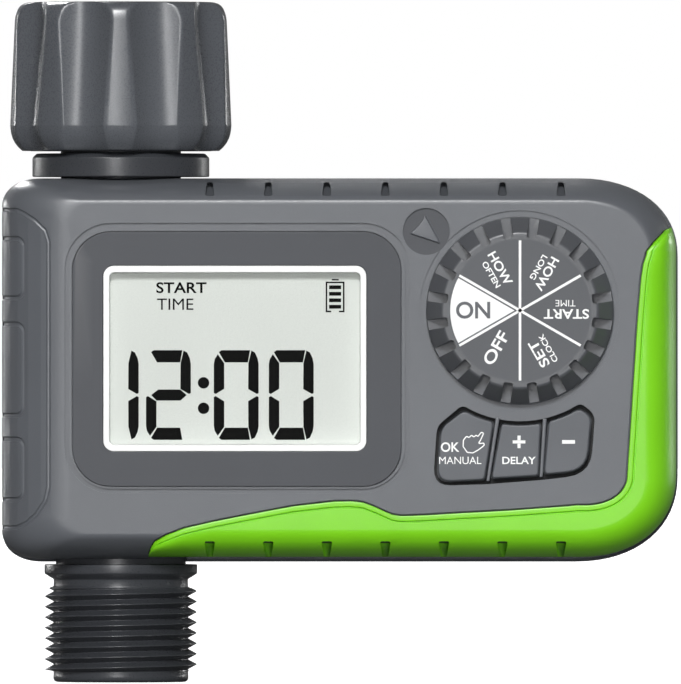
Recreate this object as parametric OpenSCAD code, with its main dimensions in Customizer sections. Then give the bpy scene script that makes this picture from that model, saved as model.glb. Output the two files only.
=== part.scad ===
// Battery irrigation controller for a garden tap: a threaded swivel inlet on top, a threaded
// outlet below, and a flat electronics case that stands out to the right of the water pipe.
// X is right, Z is up, the face with the display looks along -Y. The origin is the centre of
// the coupling nut's open mouth, on the common axis of the inlet and the outlet.

/* [Case] */
// Left side of the case
case_left = -20.5; // [-22:0.1:-20]
// Right side of the case
case_right = 95.9; // [95:0.1:98]
// Top of the case
case_top = -30.6; // [-30.8:0.1:-30.5]
// Underside of the case
case_bottom = -96.5; // [-97.2:0.1:-96.4]
// Depth of the front face before the pipe axis
front_depth = 20.5; // [20.3:0.1:21]
// Depth of the back face behind the pipe axis
back_depth = 21; // [20.8:0.1:21.4]
// Thickness of the case walls
wall = 2.2; // [1.8:0.1:2.4]
// Thickness of the coloured trim that lies on the case
trim_t = 0.7; // [0.5:0.05:0.9]

/* [Pipe threads] */
// Major diameter of the 3/4 inch pipe thread
thread_major = 26.3; // [26.1:0.05:26.4]
// Minor diameter of the internal thread
thread_minor = 24.2; // [24.12:0.02:24.6]
// Pitch of the thread, 14 turns to the inch
pitch = 1.814; // [1.81:0.001:1.83]
// Turns on the outlet
outlet_turns = 8; // [6:1:8]
// Turns in the coupling nut
nut_turns = 7; // [5:1:7]

/* [Coupling nut] */
// Height of the nut
nut_h = 25.8; // [25:0.1:25.8]
// Widest radius of the nut
nut_r = 19.2; // [18.8:0.1:19.6]
// Number of grip flutes round the nut
nut_flutes = 9; // [6:1:12]

/* [Controls] */
// Radius of the dial
dial_r = 16.2; // [15:0.1:16.4]
// Height of the dial over the case
dial_h = 6; // [5.9:0.05:6.2]
// Grip notches round the dial
dial_notches = 20; // [12:1:24]
// Gap round each key
key_gap = 0.35; // [0.3:0.05:0.4]

/* [Valve] */
// Bore of the water way
bore_r = 4.8; // [4.4:0.1:4.9]

/* [Hidden] */
$fn = 64;

half_gap = 0.4;             // half the gap between the shells, which the gasket fills
neck_top = -95;             // shoulder of the outlet, inside the case's lower opening
edge_depth = 11;            // depth at which the front edge starts to round over
edge_in = 4.2;              // width of the rounded front edge, seen from the front
left_in = 12;               // the same on the left, where the case rounds over the pipe
corner_n = 2.2;             // exponent of the case's super-elliptic corners
corner_steps = 8;           // points in each corner
back_round = 4;             // rounding of the back edges
rim_x = 0.72;               // how far the rear shell stands out past the front one, at the right
rim_z = 0.55;               // and at the bottom
side_share = 0.5;           // the trim's thickness at the sides, as a share of that in front
front_in = front_depth - 2.5; // depth of the inner face of the front wall
back_in = back_depth - wall;  // depth of the inner face of the back wall
dial_x = 69.1;              // centre of the dial
dial_z = -53.5;
key_arc_r = 19.75;          // the keys' concave top edge, round the dial's centre
window_x = 20;              // centre of the display window
window_z = -61.8;
panel_x = 20.2;             // centre of the display bezel
panel_z = -61.9;
outlet_seat = -97.5;        // top of the outlet's flange
outlet_end = -117.9;
valve_y = 3;                // the valve's own axis runs along X, a little behind the pipe
valve_z = -64;
valve_r = 14.8;
socket_top = -34.6;         // mouth of the valve body's inlet socket
seal_z = -36.4;             // seal between the socket and the tailpiece
bonnet_end = 15.5;
elbow_r = 6.3;              // outside of the way down from the seat, inside the chamber
lock_x = 62;
lock_z = -45.2;
hinge_x = 30.5;
hinge_y = back_depth + 2.1;
hinge_r = 2;
bay_z = -64.5;              // centre of the battery bay
cell_r = 7.1;
clearance = 0.05;           // running clearance, radial

// ---- shared shapes ----

// One super-elliptic quarter corner round the centre c, starting at angle a0
function corner(c, a, b, a0, steps = corner_steps) = [
  for (i = [0 : steps]) let (t = a0 + 90 * i / steps)
    [c[0] + a * sign(cos(t)) * pow(abs(cos(t)), 2 / corner_n),
     c[1] + b * sign(sin(t)) * pow(abs(sin(t)), 2 / corner_n)]
];

// The case's outline drawn in by different amounts on its four sides, from the front
function outline(l, r, b, t) =
  let (x0 = case_left + l, x1 = case_right - r, z0 = case_bottom + b, z1 = case_top - t)
  concat(
    corner([x0 + max(7 - l / 3, 2), z0 + max(5 - b / 3, 2)],
           max(7 - l / 3, 2), max(5 - b / 3, 2), 180),
    corner([x1 - max(17.2 - r, 5), z0 + max(14.4 - b, 4)],
           max(17.2 - r, 5), max(14.4 - b, 4), 270),
    corner([x1 - max(16.5 - r, 5), z1 - max(13.5 - t, 4)],
           max(16.5 - r, 5), max(13.5 - t, 4), 0),
    corner([x0 + max(7 - l / 3, 2), z1 - max(5 - t / 3, 2)],
           max(7 - l / 3, 2), max(5 - t / 3, 2), 90));

function at_depth(points, y) = [for (p = points) [p[0], y, p[1]]];

// How far the front edge has come in (0 at the side, 1 at the front face) gives its depth
function edge_y(q) = -(edge_depth + (front_depth - edge_depth) * sqrt(1 - pow(1 - min(q, 1), 2)));
function edge_ring(q) =
  at_depth(outline(left_in * q, edge_in * q, edge_in * q, edge_in * q), edge_y(q));

// Closed surface through rings that all have the same number of points
module loft(rings) {
  n = len(rings[0]);
  last = (len(rings) - 1) * n;
  polyhedron(
    points = [for (ring = rings) each ring],
    faces = concat(
      [[for (i = [n - 1 : -1 : 0]) i]],
      [for (k = [0 : len(rings) - 2], i = [0 : n - 1]) let (j = (i + 1) % n)
        each [[k * n + i, k * n + j, (k + 1) * n + j],
              [k * n + i, (k + 1) * n + j, (k + 1) * n + i]]],
      [[for (i = [0 : n - 1]) last + i]]),
    convexity = 6);
}

module along_y(y0, y1) {
  translate([0, y1, 0]) rotate([90, 0, 0]) linear_extrude(y1 - y0) children();
}

module rounded(w, h, r) {
  square([w - 2 * r, h], center = true);
  square([w, h - 2 * r], center = true);
  for (sx = [-1, 1], sz = [-1, 1])
    translate([sx * (w / 2 - r), sz * (h / 2 - r)]) circle(r);
}

module rod_y(x, z, y0, y1, r) {
  translate([x, y0, z]) rotate([-90, 0, 0]) cylinder(h = y1 - y0, r = r);
}

module rod_x(x0, x1, y, z, r) {
  translate([x0, y, z]) rotate([0, 90, 0]) cylinder(h = x1 - x0, r = r);
}

module rod_z(z0, z1, r) {
  translate([0, 0, z0]) cylinder(h = z1 - z0, r = r);
}

module box(x0, x1, y0, y1, z0, z1) {
  translate([x0, y0, z0]) cube([x1 - x0, y1 - y0, z1 - z0]);
}

// ---- case ----

screw_spots = [[-15, -38.2], [-15, -89.2], [24, -37.2], [24, -90], [85, -40], [84, -88]];
boss_r = 2.6;               // slim part of a screw boss, beside the pipe
head_r = 2.4;               // screw head, which sinks into the back
head_y = back_in - 4;       // where the heads sit
head_boss_r = 3.2;

module front_bosses() {
  for (s = screw_spots) difference() {
    rod_y(s[0], s[1], -front_in, -half_gap, boss_r);
    rod_y(s[0], s[1], -12, 0, 1.5);
  }
}

notch_xs = [for (i = [0 : 6]) 15.5 + 10.12 * i];

// A key's outline: straight sides and foot, and a top on the arc round the dial
function key_outline(foot, a0, a1, grow) = concat(
  foot,
  [for (i = [0 : 6]) let (a = a0 + (a1 - a0) * i / 6)
    [dial_x + (key_arc_r - grow) * cos(a), dial_z + (key_arc_r - grow) * sin(a)]]);

function key_points(name, g) =
  name == "ok" ? key_outline([[57.5 - g / 2, -83.1 - g], [63.06 + g, -82.8 - g]],
                             -103 + 3 * g, -119.5 - 3 * g, g)
  : name == "plus" ? key_outline([[64.1 - g, -82.6 - g], [72.35 + g, -82.1 - g]],
                                 -79.3 + 3 * g, -99.4 - 3 * g, g)
  : key_outline([[73.2 - g, -81.9 - g], [79.2 + g / 2, -80.9 - g]],
                -58.5 + 3 * g, -75.6 - 3 * g, g);

// The outer flank of the two end keys, which the arc's last point runs into
function key_flank(name, g) =
  name == "ok" ? [[55.5 - g, -73.8 + g / 2], [54.8 - g, -80.4 - g / 2]]
  : name == "minus" ? [[81 + g, -77.1 - g / 2], [81.4 + g, -71.7 + g / 2]]
  : [];

// The flank comes after the arc on the left key and before it on the right key
module key_shape(name, g = 0) {
  points = key_points(name, g);
  flank = key_flank(name, g);
  polygon(name == "minus" ? concat([points[0], points[1]], flank,
                                   [for (i = [2 : len(points) - 1]) points[i]])
                          : concat(points, flank));
}

module front_openings() {
  translate([panel_x, 0, panel_z]) along_y(-front_depth - 1, -front_depth + 1)
    rounded(57.4, 44.6, 7);
  translate([window_x, 0, window_z]) along_y(-front_depth, 0) rounded(44.6, 31.2, 1.5);
  rod_y(dial_x, dial_z, -front_depth - 1, -front_depth + 0.4, 17.3);
  rod_y(dial_x, dial_z, -front_depth, 0, 3.2);
  rod_y(dial_x, dial_z, -front_in - 1.3, 0, 4.4);
  rod_y(52.9, -39.8, -front_depth - 1, -front_depth + 0.5, 4.1);
  along_y(-front_depth - 1, 0) {
    key_shape("ok", key_gap);
    key_shape("plus", key_gap);
    key_shape("minus", key_gap);
  }
}

module pipe_holes() {
  rod_z(case_top - 4, case_top + 1, 10.5);
  rod_z(case_bottom - 1, case_bottom + 4, 11.4);
}

module front_shell() color("#6e7075") {
  difference() {
    loft(concat(
      [for (q = [1, 0.7, 0.45, 0.25, 0.1, 0]) edge_ring(q)],
      [at_depth(outline(0, 0, 0, 0), -half_gap),
       at_depth(outline(wall, wall, wall, wall), -half_gap),
       at_depth(outline(3.2, 2.4, 2.4, 2.4), -edge_depth),
       at_depth(outline(6, 3.4, 3.4, 3.4), -14.2),
       at_depth(outline(11, 5.6, 5.6, 5.6), -front_in)]));
    front_openings();
    pipe_holes();
    for (x = notch_xs) box(x - 0.8, x + 0.8, -19, -12, -34, -31.6);
  }
  front_bosses();
}

module rear_shell() color("#5a5c60") {
  difference() {
    union() {
      loft([
        at_depth(outline(10, 4.2, 4.2, 4.2), back_in),
        at_depth(outline(3.6, 2.3, 2.3, 2.3), 14),
        at_depth(outline(wall, wall, wall, wall), half_gap),
        at_depth(outline(0, -rim_x, -rim_z, 0), half_gap),
        at_depth(outline(0, -rim_x, -rim_z, 0), 11),
        at_depth(outline(1.4, -0.4, -0.3, 0.1), 15),
        at_depth(outline(3.6, 0.3, 0.3, 0.4), 17.5),
        at_depth(outline(7, 1.5, 1.5, 1.5), 19.8),
        at_depth(outline(11, back_round, back_round, back_round), back_depth)]);
      for (z0 = [-57, -79]) {
        translate([hinge_x, hinge_y, z0]) cylinder(h = 6, r = hinge_r);
        box(hinge_x - hinge_r, hinge_x + 1, back_depth - 1, hinge_y, z0, z0 + 6);
      }
    }
    pipe_holes();
    translate([(34.5 + 89) / 2, 0, bay_z]) along_y(back_in - 1, back_depth + 1)
      rounded(54.5, 30, 3);
    rod_y(lock_x, lock_z, back_in - 1, back_depth + 1, 2.8);
    box(lock_x, lock_x + 5.4, back_in - 1, back_depth + 1, lock_z - 1.5, lock_z + 1.5);
    translate([hinge_x, hinge_y, -80]) cylinder(h = 30, r = 0.9);
    for (s = screw_spots) {
      rod_y(s[0], s[1], head_y - 4, head_y + 1, 1.6);
      rod_y(s[0], s[1], head_y, back_depth + 1, head_r + 0.1);
    }
  }
  for (s = screw_spots) difference() {
    union() {
      rod_y(s[0], s[1], half_gap, head_y, boss_r);
      rod_y(s[0], s[1], head_y - 4, back_in + 0.4, head_boss_r);
    }
    rod_y(s[0], s[1], half_gap - 1, back_in, 1.6);
    rod_y(s[0], s[1], head_y, back_depth, head_r + 0.1);
  }
}

// The seal is squeezed between the two shells, just inside their outer edge
module case_gasket() color("#222426") difference() {
  along_y(-half_gap, half_gap) polygon(outline(0.6, 0.6, 0.6, 0.6));
  along_y(-1, 1) polygon(outline(1.9, 1.9, 1.9, 1.9));
  pipe_holes();
}

module case_screws() color("#b8babd") for (s = screw_spots) {
  rod_y(s[0], s[1], head_y, head_y + 2, head_r);
  rod_y(s[0], s[1], -9, head_y + 0.5, 1.45);
}

// ---- trim ----

// Stations along the trim: [side, place], where side 0 is the underside at x, 1 the lower right
// corner at an angle, 2 the right side at z, and 3 the upper right corner at an angle
trim_stations = concat(
  [for (x = [5.2, 6, 8, 11, 16, 22, 30, 37, 42, 45.5, 48.5, 58, 68, 78]) [0, x]],
  [for (a = [-75 : 15 : -15]) [1, a]],
  [for (z = [-81, -76, -66, -56, -48, -44.2]) [2, z]],
  [for (a = [8, 14, 18]) [3, a]]);

// How far the trim reaches in from the silhouette, as a multiple of the rounded edge's width
function trim_reach(s) =
  s[0] == 0 ? lookup(s[1], [[5.2, 0.3], [6, 0.75], [8, 1.02], [11, 1.27], [16, 1.52], [22, 1.83],
                            [30, 2.2], [37, 2.4], [42, 2.37], [45.5, 2], [48.5, 1.78],
                            [58, 1.88], [68, 2.02], [78, 2.2]])
  : s[0] == 1 ? lookup(s[1], [[-90, 2.25], [-45, 2.1], [0, 1.95]])
  : s[0] == 2 ? lookup(s[1], [[-81, 1.95], [-76, 1.87], [-66, 1.72], [-56, 1.56], [-48, 1.4],
                              [-44.2, 1.25]])
  : lookup(s[1], [[8, 1], [14, 0.7], [18, 0.3]]);

// A point of the case's surface at a station, q inwards from the silhouette, grown outwards by g
function trim_point(s, q, g) =
  let (inset = edge_in * q,
       out = side_share * g * (q < 0 ? 1 : max(0, 1 - min(q, 1))),
       y = q < 0 ? -1.2 : edge_y(q) - g * sqrt(min(q, 1)),
       d = max(inset, 0) - out,
       a = 17.2 - d, b = 14.4 - d, b3 = 13.5 - d, a3 = 16.5 - d,
       t = s[1], n = 2 / corner_n)
  s[0] == 0 ? [t, y, case_bottom + d]
  : s[0] == 1 ? [case_right - 17.2 + a * pow(cos(t), n),
                 y, case_bottom + 14.4 - b * pow(abs(sin(t)), n)]
  : s[0] == 2 ? [case_right - d, y, t]
  : [case_right - 16.5 + a3 * pow(cos(t), n), y, case_top - 13.5 + b3 * pow(sin(t), n)];

trim_steps = [-1, 0, 0.06, 0.18, 0.36, 0.62, 1];
function trim_path(s, g) = [
  for (k = trim_steps) trim_point(s, k < 0 ? -1 : k * min(trim_reach(s), 1), g),
  trim_point(s, max(trim_reach(s), 1.01 * min(trim_reach(s), 1)), g)];
function reversed(v) = [for (i = [len(v) - 1 : -1 : 0]) v[i]];

module green_trim() color("#7cd42b") difference() {
  loft([for (s = trim_stations) concat(trim_path(s, trim_t), reversed(trim_path(s, 0)))]);
  for (x = notch_xs) box(x - 0.9, x + 0.9, -21, -13, -96.2, -93.4);
  rod_z(case_bottom - 2, case_bottom + 0.8, 13.3);
}

// ---- display ----

module window_ring(w, h, r, w1, h1, r1, y0, y1) {
  translate([window_x, 0, window_z]) difference() {
    along_y(y0, y1) rounded(w, h, r);
    along_y(y0 - 1, y1 + 1) rounded(w1, h1, r1);
  }
}

module display_bezel() color("#595b60") difference() {
  translate([panel_x, 0, panel_z]) along_y(-20.75, -19.5) rounded(57, 44.2, 6.8);
  translate([window_x - 0.15, 0, window_z]) along_y(-22, -19) rounded(45.6, 32.2, 1.9);
}

module window_frame() color("white")
  translate([-0.15, 0, 0]) window_ring(45.5, 32.1, 1.85, 43.4, 29.8, 0.8, -20.7, -19.5);

module display_lens() color("#dfe5df")
  translate([window_x - 0.15, 0, window_z]) along_y(-20.6, -19.6) rounded(43.3, 29.7, 0.75);

module lcd_panel() color("#cfd6cf") {
  translate([window_x, -16.4, window_z]) cube([46, 2.6, 34], center = true);
}

module lcd_holder() color("#e8e8e6") difference() {
  translate([window_x, -16, window_z]) cube([50, 3.6, 37.6], center = true);
  translate([window_x, -16, window_z]) cube([46.2, 5, 34.2], center = true);
}

module zebra_strips() color("#e79aa0") for (z = [-46.4, -77.2])
  box(window_x - 21, window_x + 21, -15.1, -14.2, z - 1, z + 1);

// ---- electronics ----

module main_board() color("#2f6b3c") difference() {
  box(-9, 80.5, -14.2, -12.6, -86.2, -42);
  for (x = [-6.5, 48], z = [-44, -84]) rod_y(x, z, -15, -12, 1.2);
}

chips = [[20, -56, 10, 10], [36, -70, 6, 4], [31, -46, 4, 6], [60, -46, 8, 4], [74, -60, 5, 4]];

module board_parts() color("#1c1d1f") {
  for (c = chips) box(c[0], c[0] + c[2], -12.6, -11.2, c[1] - c[3], c[1]);
  for (x = [66, 74]) rod_y(x, -74, -12.6, -3, 3.2);
  box(20, 26, -12.6, -8, -84, -80);
  box(40, 46, -12.6, -8, -84, -80);
}

module rotary_switch() color("#2a2c2e") difference() {
  translate([dial_x, -16.1, dial_z]) cube([15, 3.8, 15], center = true);
  rod_y(dial_x, dial_z, -19, -15, 3 + clearance);
}

module dial_knob() color("#3c3e42") difference() {
  union() {
    translate([dial_x, -front_depth - 0.3, dial_z]) rotate([90, 0, 0]) rotate_extrude()
      polygon([[0, 0], [dial_r, 0], [dial_r, dial_h - 3.8], [dial_r - 0.8, dial_h - 1.4],
               [dial_r - 2.6, dial_h - 0.4], [12.3, dial_h - 0.4], [12.3, dial_h - 0.8],
               [0, dial_h - 0.8]]);
    rod_y(dial_x, dial_z, -front_depth - 0.4, -front_depth + 0.3, 4.6);
  }
  for (i = [0 : dial_notches - 1]) translate([dial_x, 0, dial_z])
    rotate([0, 360 * (i + 0.5) / dial_notches, 0]) translate([12.5, -front_depth - dial_h - 1, -0.85])
      cube([5, 5.2, 1.7]);
  rod_y(dial_x, dial_z, -front_depth - 3, -front_depth + 2, 3);
}

module dial_shaft() color("#c9ccd0")
  rod_y(dial_x, dial_z, -front_depth - 3, -15.2, 3);

module dial_seal() color("#1a1a1a") translate([dial_x, -front_in - 0.65, dial_z])
  rotate([90, 0, 0]) rotate_extrude() translate([3.75, 0]) circle(0.6, $fn = 24);

key_names = ["ok", "plus", "minus"];
key_spots = [[59.6, -77.5], [68.6, -77.3], [77.2, -76.6]];

module key(name) {
  along_y(-front_depth - 1.1, -front_in + 0.1) key_shape(name);
  along_y(-front_in + 0.1, -front_in + 0.7) key_shape(name, 0.2);
}

module key_ok() color("#66686c") key("ok");
module key_plus() color("#66686c") key("plus");
module key_minus() color("#66686c") key("minus");

module plunger(i) {
  rod_y(key_spots[i][0], key_spots[i][1], -front_in + 0.7, -15.8, 1.5);
}

module plunger_ok() color("#b33a2e") plunger(0);
module plunger_plus() color("#b33a2e") plunger(1);
module plunger_minus() color("#b33a2e") plunger(2);

module tact_switches() color("#303236") for (s = key_spots) difference() {
  translate([s[0], -15.2, s[1]]) cube([6, 2, 6], center = true);
  rod_y(s[0], s[1], -17, -14.8, 1.5 + clearance);
}

// A flat rubber sheet with a window round each key, behind the front wall
module keypad_seal() color("#1b1b1c") difference() {
  along_y(-front_in, -front_in + 0.5) difference() {
    translate([68, -77.9]) square([31, 13.4], center = true);
    translate([dial_x, dial_z]) circle(18.2);
  }
  along_y(-front_in - 1, -front_in + 1) for (n = key_names) key_shape(n, 0.55);
}

// ---- inlet ----

// A thread is a stack of rings with flat crests, so that its crest is a true cylinder
function thread_profile(root, crest, turns) = [
  for (i = [0 : turns - 1]) each [[root, -pitch * (i + 0.02)], [crest, -pitch * (i + 0.4)],
                                  [crest, -pitch * (i + 0.62)], [root, -pitch * (i + 0.98)]]];

nut_thread_end = -pitch * nut_turns;
flange_top = -20;

module coupling_nut() color("#55585b") difference() {
  rotate_extrude($fn = 96) polygon(concat(
    [[10.5, -nut_h], [17.7, -nut_h], [18.8, -23.6], [nut_r, -21.2], [18.5, -3], [17.9, -1.2],
     [16.6, 0], [thread_minor / 2, 0], [thread_minor / 2, -0.4]],
    [for (i = [0 : nut_turns - 1]) each [
      [thread_major / 2 + 0.1, -pitch * (i + 0.6)], [thread_major / 2 + 0.1, -pitch * (i + 0.7)],
      [thread_minor / 2, -pitch * (i + 1)], [thread_minor / 2, -pitch * (i + 1.2)]]],
    [[13.4, nut_thread_end - 1], [13.4, -23.3], [10.5, -23.3]]));
  for (i = [0 : nut_flutes - 1]) rotate([0, 0, 360 * (i + 0.5) / nut_flutes - 90])
    translate([26.4, 0, 0]) rotate([0, -4.4, 0]) translate([0, 0, -24]) cylinder(h = 23, r = 10);
}

module inlet_tailpiece() color("#3e4144") rotate_extrude($fn = 96) polygon([
  [8, -38], [10.4, -38], [10.4, -30.3], [15.35, -30.3], [15.35, -27], [14.6, -26.25],
  [10.42, -26.25], [10.42, -23.2], [12.4, -23.2], [12.4, flange_top], [8, flange_top]]);

module inlet_washer() color("#23262a") difference() {
  rod_z(flange_top, flange_top + 2.6, 12.6);
  rod_z(flange_top - 1, flange_top + 4, 8);
}

// A domed strainer whose rim lies on the washer's inner edge
module filter_screen() color("#c7cbd0") rotate_extrude() polygon([
  [9.2, flange_top + 2.6], [9.2, flange_top + 3.2], [7.2, flange_top + 3.2],
  [4.5, flange_top - 3.4], [0, flange_top - 4.4], [0, flange_top - 5], [4.9, flange_top - 4],
  [7.8, flange_top + 2.6]]);

module tailpiece_seal() color("#1a1a1a") translate([0, 0, seal_z])
  rotate_extrude() translate([10.9, 0]) circle(0.48, $fn = 24);

// ---- valve ----

module valve_body() color("#3c3f42") difference() {
  union() {
    rod_z(-52, socket_top, 11.7);
    rod_x(-10, 9, valve_y, valve_z, valve_r);
    rod_z(-96, -78, 10.6);
    rod_z(outlet_seat, neck_top, 11.27);
    rotate_extrude($fn = 96) polygon(concat(
      [[8.4, outlet_seat], [13.2, outlet_seat], [12.95, -99.2], [12, -100], [11.65, -101.2]],
      [for (p = thread_profile(11.7, thread_major / 2, outlet_turns)) [p[0], p[1] - 101.3]],
      [[11.65, -101.5 - pitch * outlet_turns], [11.65, outlet_end + 0.6],
       [11.1, outlet_end], [8.4, outlet_end]]));
  }
  rod_z(-39, -30, 10.45);
  rod_z(-53, -38.5, 8);
  difference() {
    rod_x(-7.5, 10, valve_y, valve_z, 11);
    rod_z(-80, -57, elbow_r);
    rod_x(-9, 6.4, valve_y, valve_z, 8);
  }
  rod_z(-120, -64, bore_r);
  rod_z(-120, -82, 8.4);
  rod_x(0, 8, valve_y, valve_z, 4.5);
  translate([0, 0, seal_z]) rotate_extrude() translate([10.85, 0]) square([1.1, 1.1], center = true);
  rod_x(9, bonnet_end + 1, valve_y, valve_z, valve_r + 0.05);
  for (a = bonnet_angles) rod_x(2, 10, valve_y + 13 * cos(a), valve_z + 13 * sin(a), 1.05);
}

bonnet_angles = [45, 135, 225, 315];

// A two-legged clip that holds the tailpiece down in its socket
module tailpiece_clip() color("#b8babd") difference() {
  rod_z(socket_top + 0.05, socket_top + 0.85, 11.7);
  rod_z(socket_top - 1, socket_top + 2, 10.5);
  box(-8, 8, 5, 14, socket_top - 1, socket_top + 2);
}

// A ring on the outlet's shoulder, inside the case's lower opening
module outlet_seal() color("#1a1a1a") difference() {
  rod_z(neck_top + 0.05, neck_top + 0.65, 11.35);
  rod_z(neck_top - 1, neck_top + 2, 10.65);
}

module diaphragm() color("#26282b") difference() {
  rod_x(9, 10.2, valve_y, valve_z, 11.4);
  rod_x(8, 11, valve_y, valve_z, 4.1);
}

module diaphragm_insert() color("#d9dbdc") {
  rod_x(8.2, 8.9, valve_y, valve_z, 7);
  rod_x(6.5, 8.2, valve_y, valve_z, 7.6);
  rod_x(8.5, 10.4, valve_y, valve_z, 4 - clearance);
  rod_x(10.3, 11, valve_y, valve_z, 5);
}

module coil_spring(x0, x1, r, wire, turns) {
  for (i = [0 : turns - 1]) translate([x0 + wire + (x1 - x0 - 2 * wire) * i / (turns - 1),
                                      valve_y, valve_z])
    rotate([0, 90, 0]) rotate_extrude() translate([r, 0]) circle(wire, $fn = 16);
}

module diaphragm_spring() color("#c5c9cc") coil_spring(11.05, 13.7, 3.6, 0.28, 3);

module valve_bonnet() color("#3c3f42") difference() {
  union() {
    rod_x(9, bonnet_end, valve_y, valve_z, valve_r);
    rod_x(bonnet_end - 0.5, 17.5, valve_y, valve_z, 6);
  }
  rod_x(8, 10.2, valve_y, valve_z, 11.5);
  rod_x(10.1, 13.8, valve_y, valve_z, 9);
  rod_x(13, 18, valve_y, valve_z, 4.3);
  for (a = bonnet_angles) rod_x(8, 18, valve_y + 13 * cos(a), valve_z + 13 * sin(a), 1.35);
}

module bonnet_screws() color("#b8babd") for (a = bonnet_angles) {
  rod_x(3, 16, valve_y + 13 * cos(a), valve_z + 13 * sin(a), 1.02);
  rod_x(bonnet_end + 0.02, 17, valve_y + 13 * cos(a), valve_z + 13 * sin(a), 1.75);
}

module solenoid_coil() color("#8c2f28") difference() {
  rod_x(18.9, 30, valve_y, valve_z, 8.2);
  rod_x(18, 31, valve_y, valve_z, 4.6);
}

module solenoid_yoke() color("#a6abb0") difference() {
  box(17.6, 31.4, valve_y - 8.6, valve_y + 8.6, valve_z - 9.7, valve_z + 9.7);
  box(18.8, 30.2, valve_y - 9, valve_y + 9, valve_z - 8.5, valve_z + 8.5);
  rod_x(17, 20, valve_y, valve_z, 4.6);
}

module core_tube() color("#d0d3d6") difference() {
  rod_x(13.9, 30.1, valve_y, valve_z, 4.25);
  rod_x(13, 29, valve_y, valve_z, 3.1);
}

module solenoid_plunger() color("#9aa0a5") {
  rod_x(14.1, 22, valve_y, valve_z, 3.1 - clearance);
}

module plunger_spring() color("#c5c9cc") coil_spring(22.05, 28.9, 2.2, 0.3, 6);

// ---- leads ----

// A thin tube swept along a route with 8 sides and square-cut ends
function unit(v) = v / norm(v);
function tube_ring(route, i, r) =
  let (last = len(route) - 1,
       d = unit(route[min(i + 1, last)] - route[max(i - 1, 0)]),
       side = unit(cross(d, abs(d[2]) > 0.9 ? [1, 0, 0] : [0, 0, 1])),
       up = cross(side, d))
  [for (k = [0 : 7]) route[i] + r * (side * cos(45 * k) - up * sin(45 * k))];

module lead(route) loft([for (i = [0 : len(route) - 1]) tube_ring(route, i, 0.55)]);

coil_lead_route = [[25, 3, -53.7], [25, 2.6, -51], [25, 0, -48], [25, -4, -46], [25, -7, -46],
                   [25, -10, -46], [25, -12.5, -46]];
cell_lead_route = [[60, 2.5, -60], [60, 0, -60], [60, -3, -60.5], [60, -6, -61.5],
                   [60, -9, -62], [60, -12.5, -62]];

module solenoid_leads() color("#c23b2e") for (dx = [0, 2])
  lead([for (p = coil_lead_route) p + [dx, 0, 0]]);

module battery_leads() color("#c23b2e") for (dx = [0, 2])
  lead([for (p = cell_lead_route) p + [dx, 0, 0]]);

// ---- batteries ----

module battery_box() color("#4a4c50") difference() {
  box(32.5, 91, 2.6, back_in, bay_z - 17.1, bay_z + 17.1);
  box(33.7, 89.8, 3.8, back_depth, bay_z - 15.9, bay_z + 15.9);
}

module battery_contacts() color("#d5d0b8") for (z = [-1, 1]) {
  box(33.7, 34.1, 6, 17, bay_z + 7.6 * z - 5, bay_z + 7.6 * z + 5);
  box(89.4, 89.8, 6, 17, bay_z + 7.6 * z - 5, bay_z + 7.6 * z + 5);
  rod_x(34.1, 36.4, 11.3, bay_z + 7.6 * z, 3);
}

module batteries() color("#3a4a5a") for (z = [-1, 1]) {
  rod_x(36.5, 87.4, 11.3, bay_z + 7.6 * z, cell_r);
  rod_x(87.3, 89.3, 11.3, bay_z + 7.6 * z, 2.7);
}

door_x0 = 33.2;
door_x1 = 91;
door_y0 = back_depth + 0.2;
door_y1 = back_depth + 2.4;

module battery_door() color("#5a5c60") difference() {
  union() {
    translate([(door_x0 + door_x1) / 2, 0, -62.2]) along_y(door_y0, door_y1)
      rounded(door_x1 - door_x0, 42, 4);
    translate([(35.5 + 88) / 2, 0, bay_z]) along_y(19, door_y0 + 0.5) rounded(52.5, 28, 2.5);
    translate([hinge_x, hinge_y, -72.8]) cylinder(h = 15.6, r = hinge_r);
    box(hinge_x, door_x0 + 1, door_y0 + 0.4, door_y1, -72.8, -57.2);
  }
  translate([(35.5 + 88) / 2, 0, bay_z]) along_y(18, door_y0 - 0.4) rounded(49.5, 25, 1.5);
  rod_y(lock_x, lock_z, door_y0 - 1, door_y1 + 1, 3.2 + clearance);
  translate([hinge_x, hinge_y, -80]) cylinder(h = 30, r = 0.9 + clearance);
}

module door_gasket() color("#222426") difference() {
  translate([(35.5 + 88) / 2, 0, bay_z]) along_y(19.6, door_y0 - 0.1) rounded(53.3, 28.8, 2.9);
  translate([(35.5 + 88) / 2, 0, bay_z]) along_y(18, door_y0 + 1) rounded(52.5, 28, 2.5);
}

module door_lock() color("#7c7f84") difference() {
  union() {
    rod_y(lock_x, lock_z, door_y0 + 0.2, door_y1 + 0.6, 3.2);
    rod_y(lock_x, lock_z, 17, door_y0 + 0.3, 2);
    box(lock_x, lock_x + 4.2, 17, 18.5, lock_z - 1.1, lock_z + 1.1);
  }
  box(lock_x - 2.4, lock_x + 2.4, door_y1 - 0.5, door_y1 + 1, lock_z - 0.5, lock_z + 0.5);
}

module hinge_pin() color("#b8babd") translate([hinge_x, hinge_y, -79]) cylinder(h = 28, r = 0.9);

// ---- nodes ----

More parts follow.
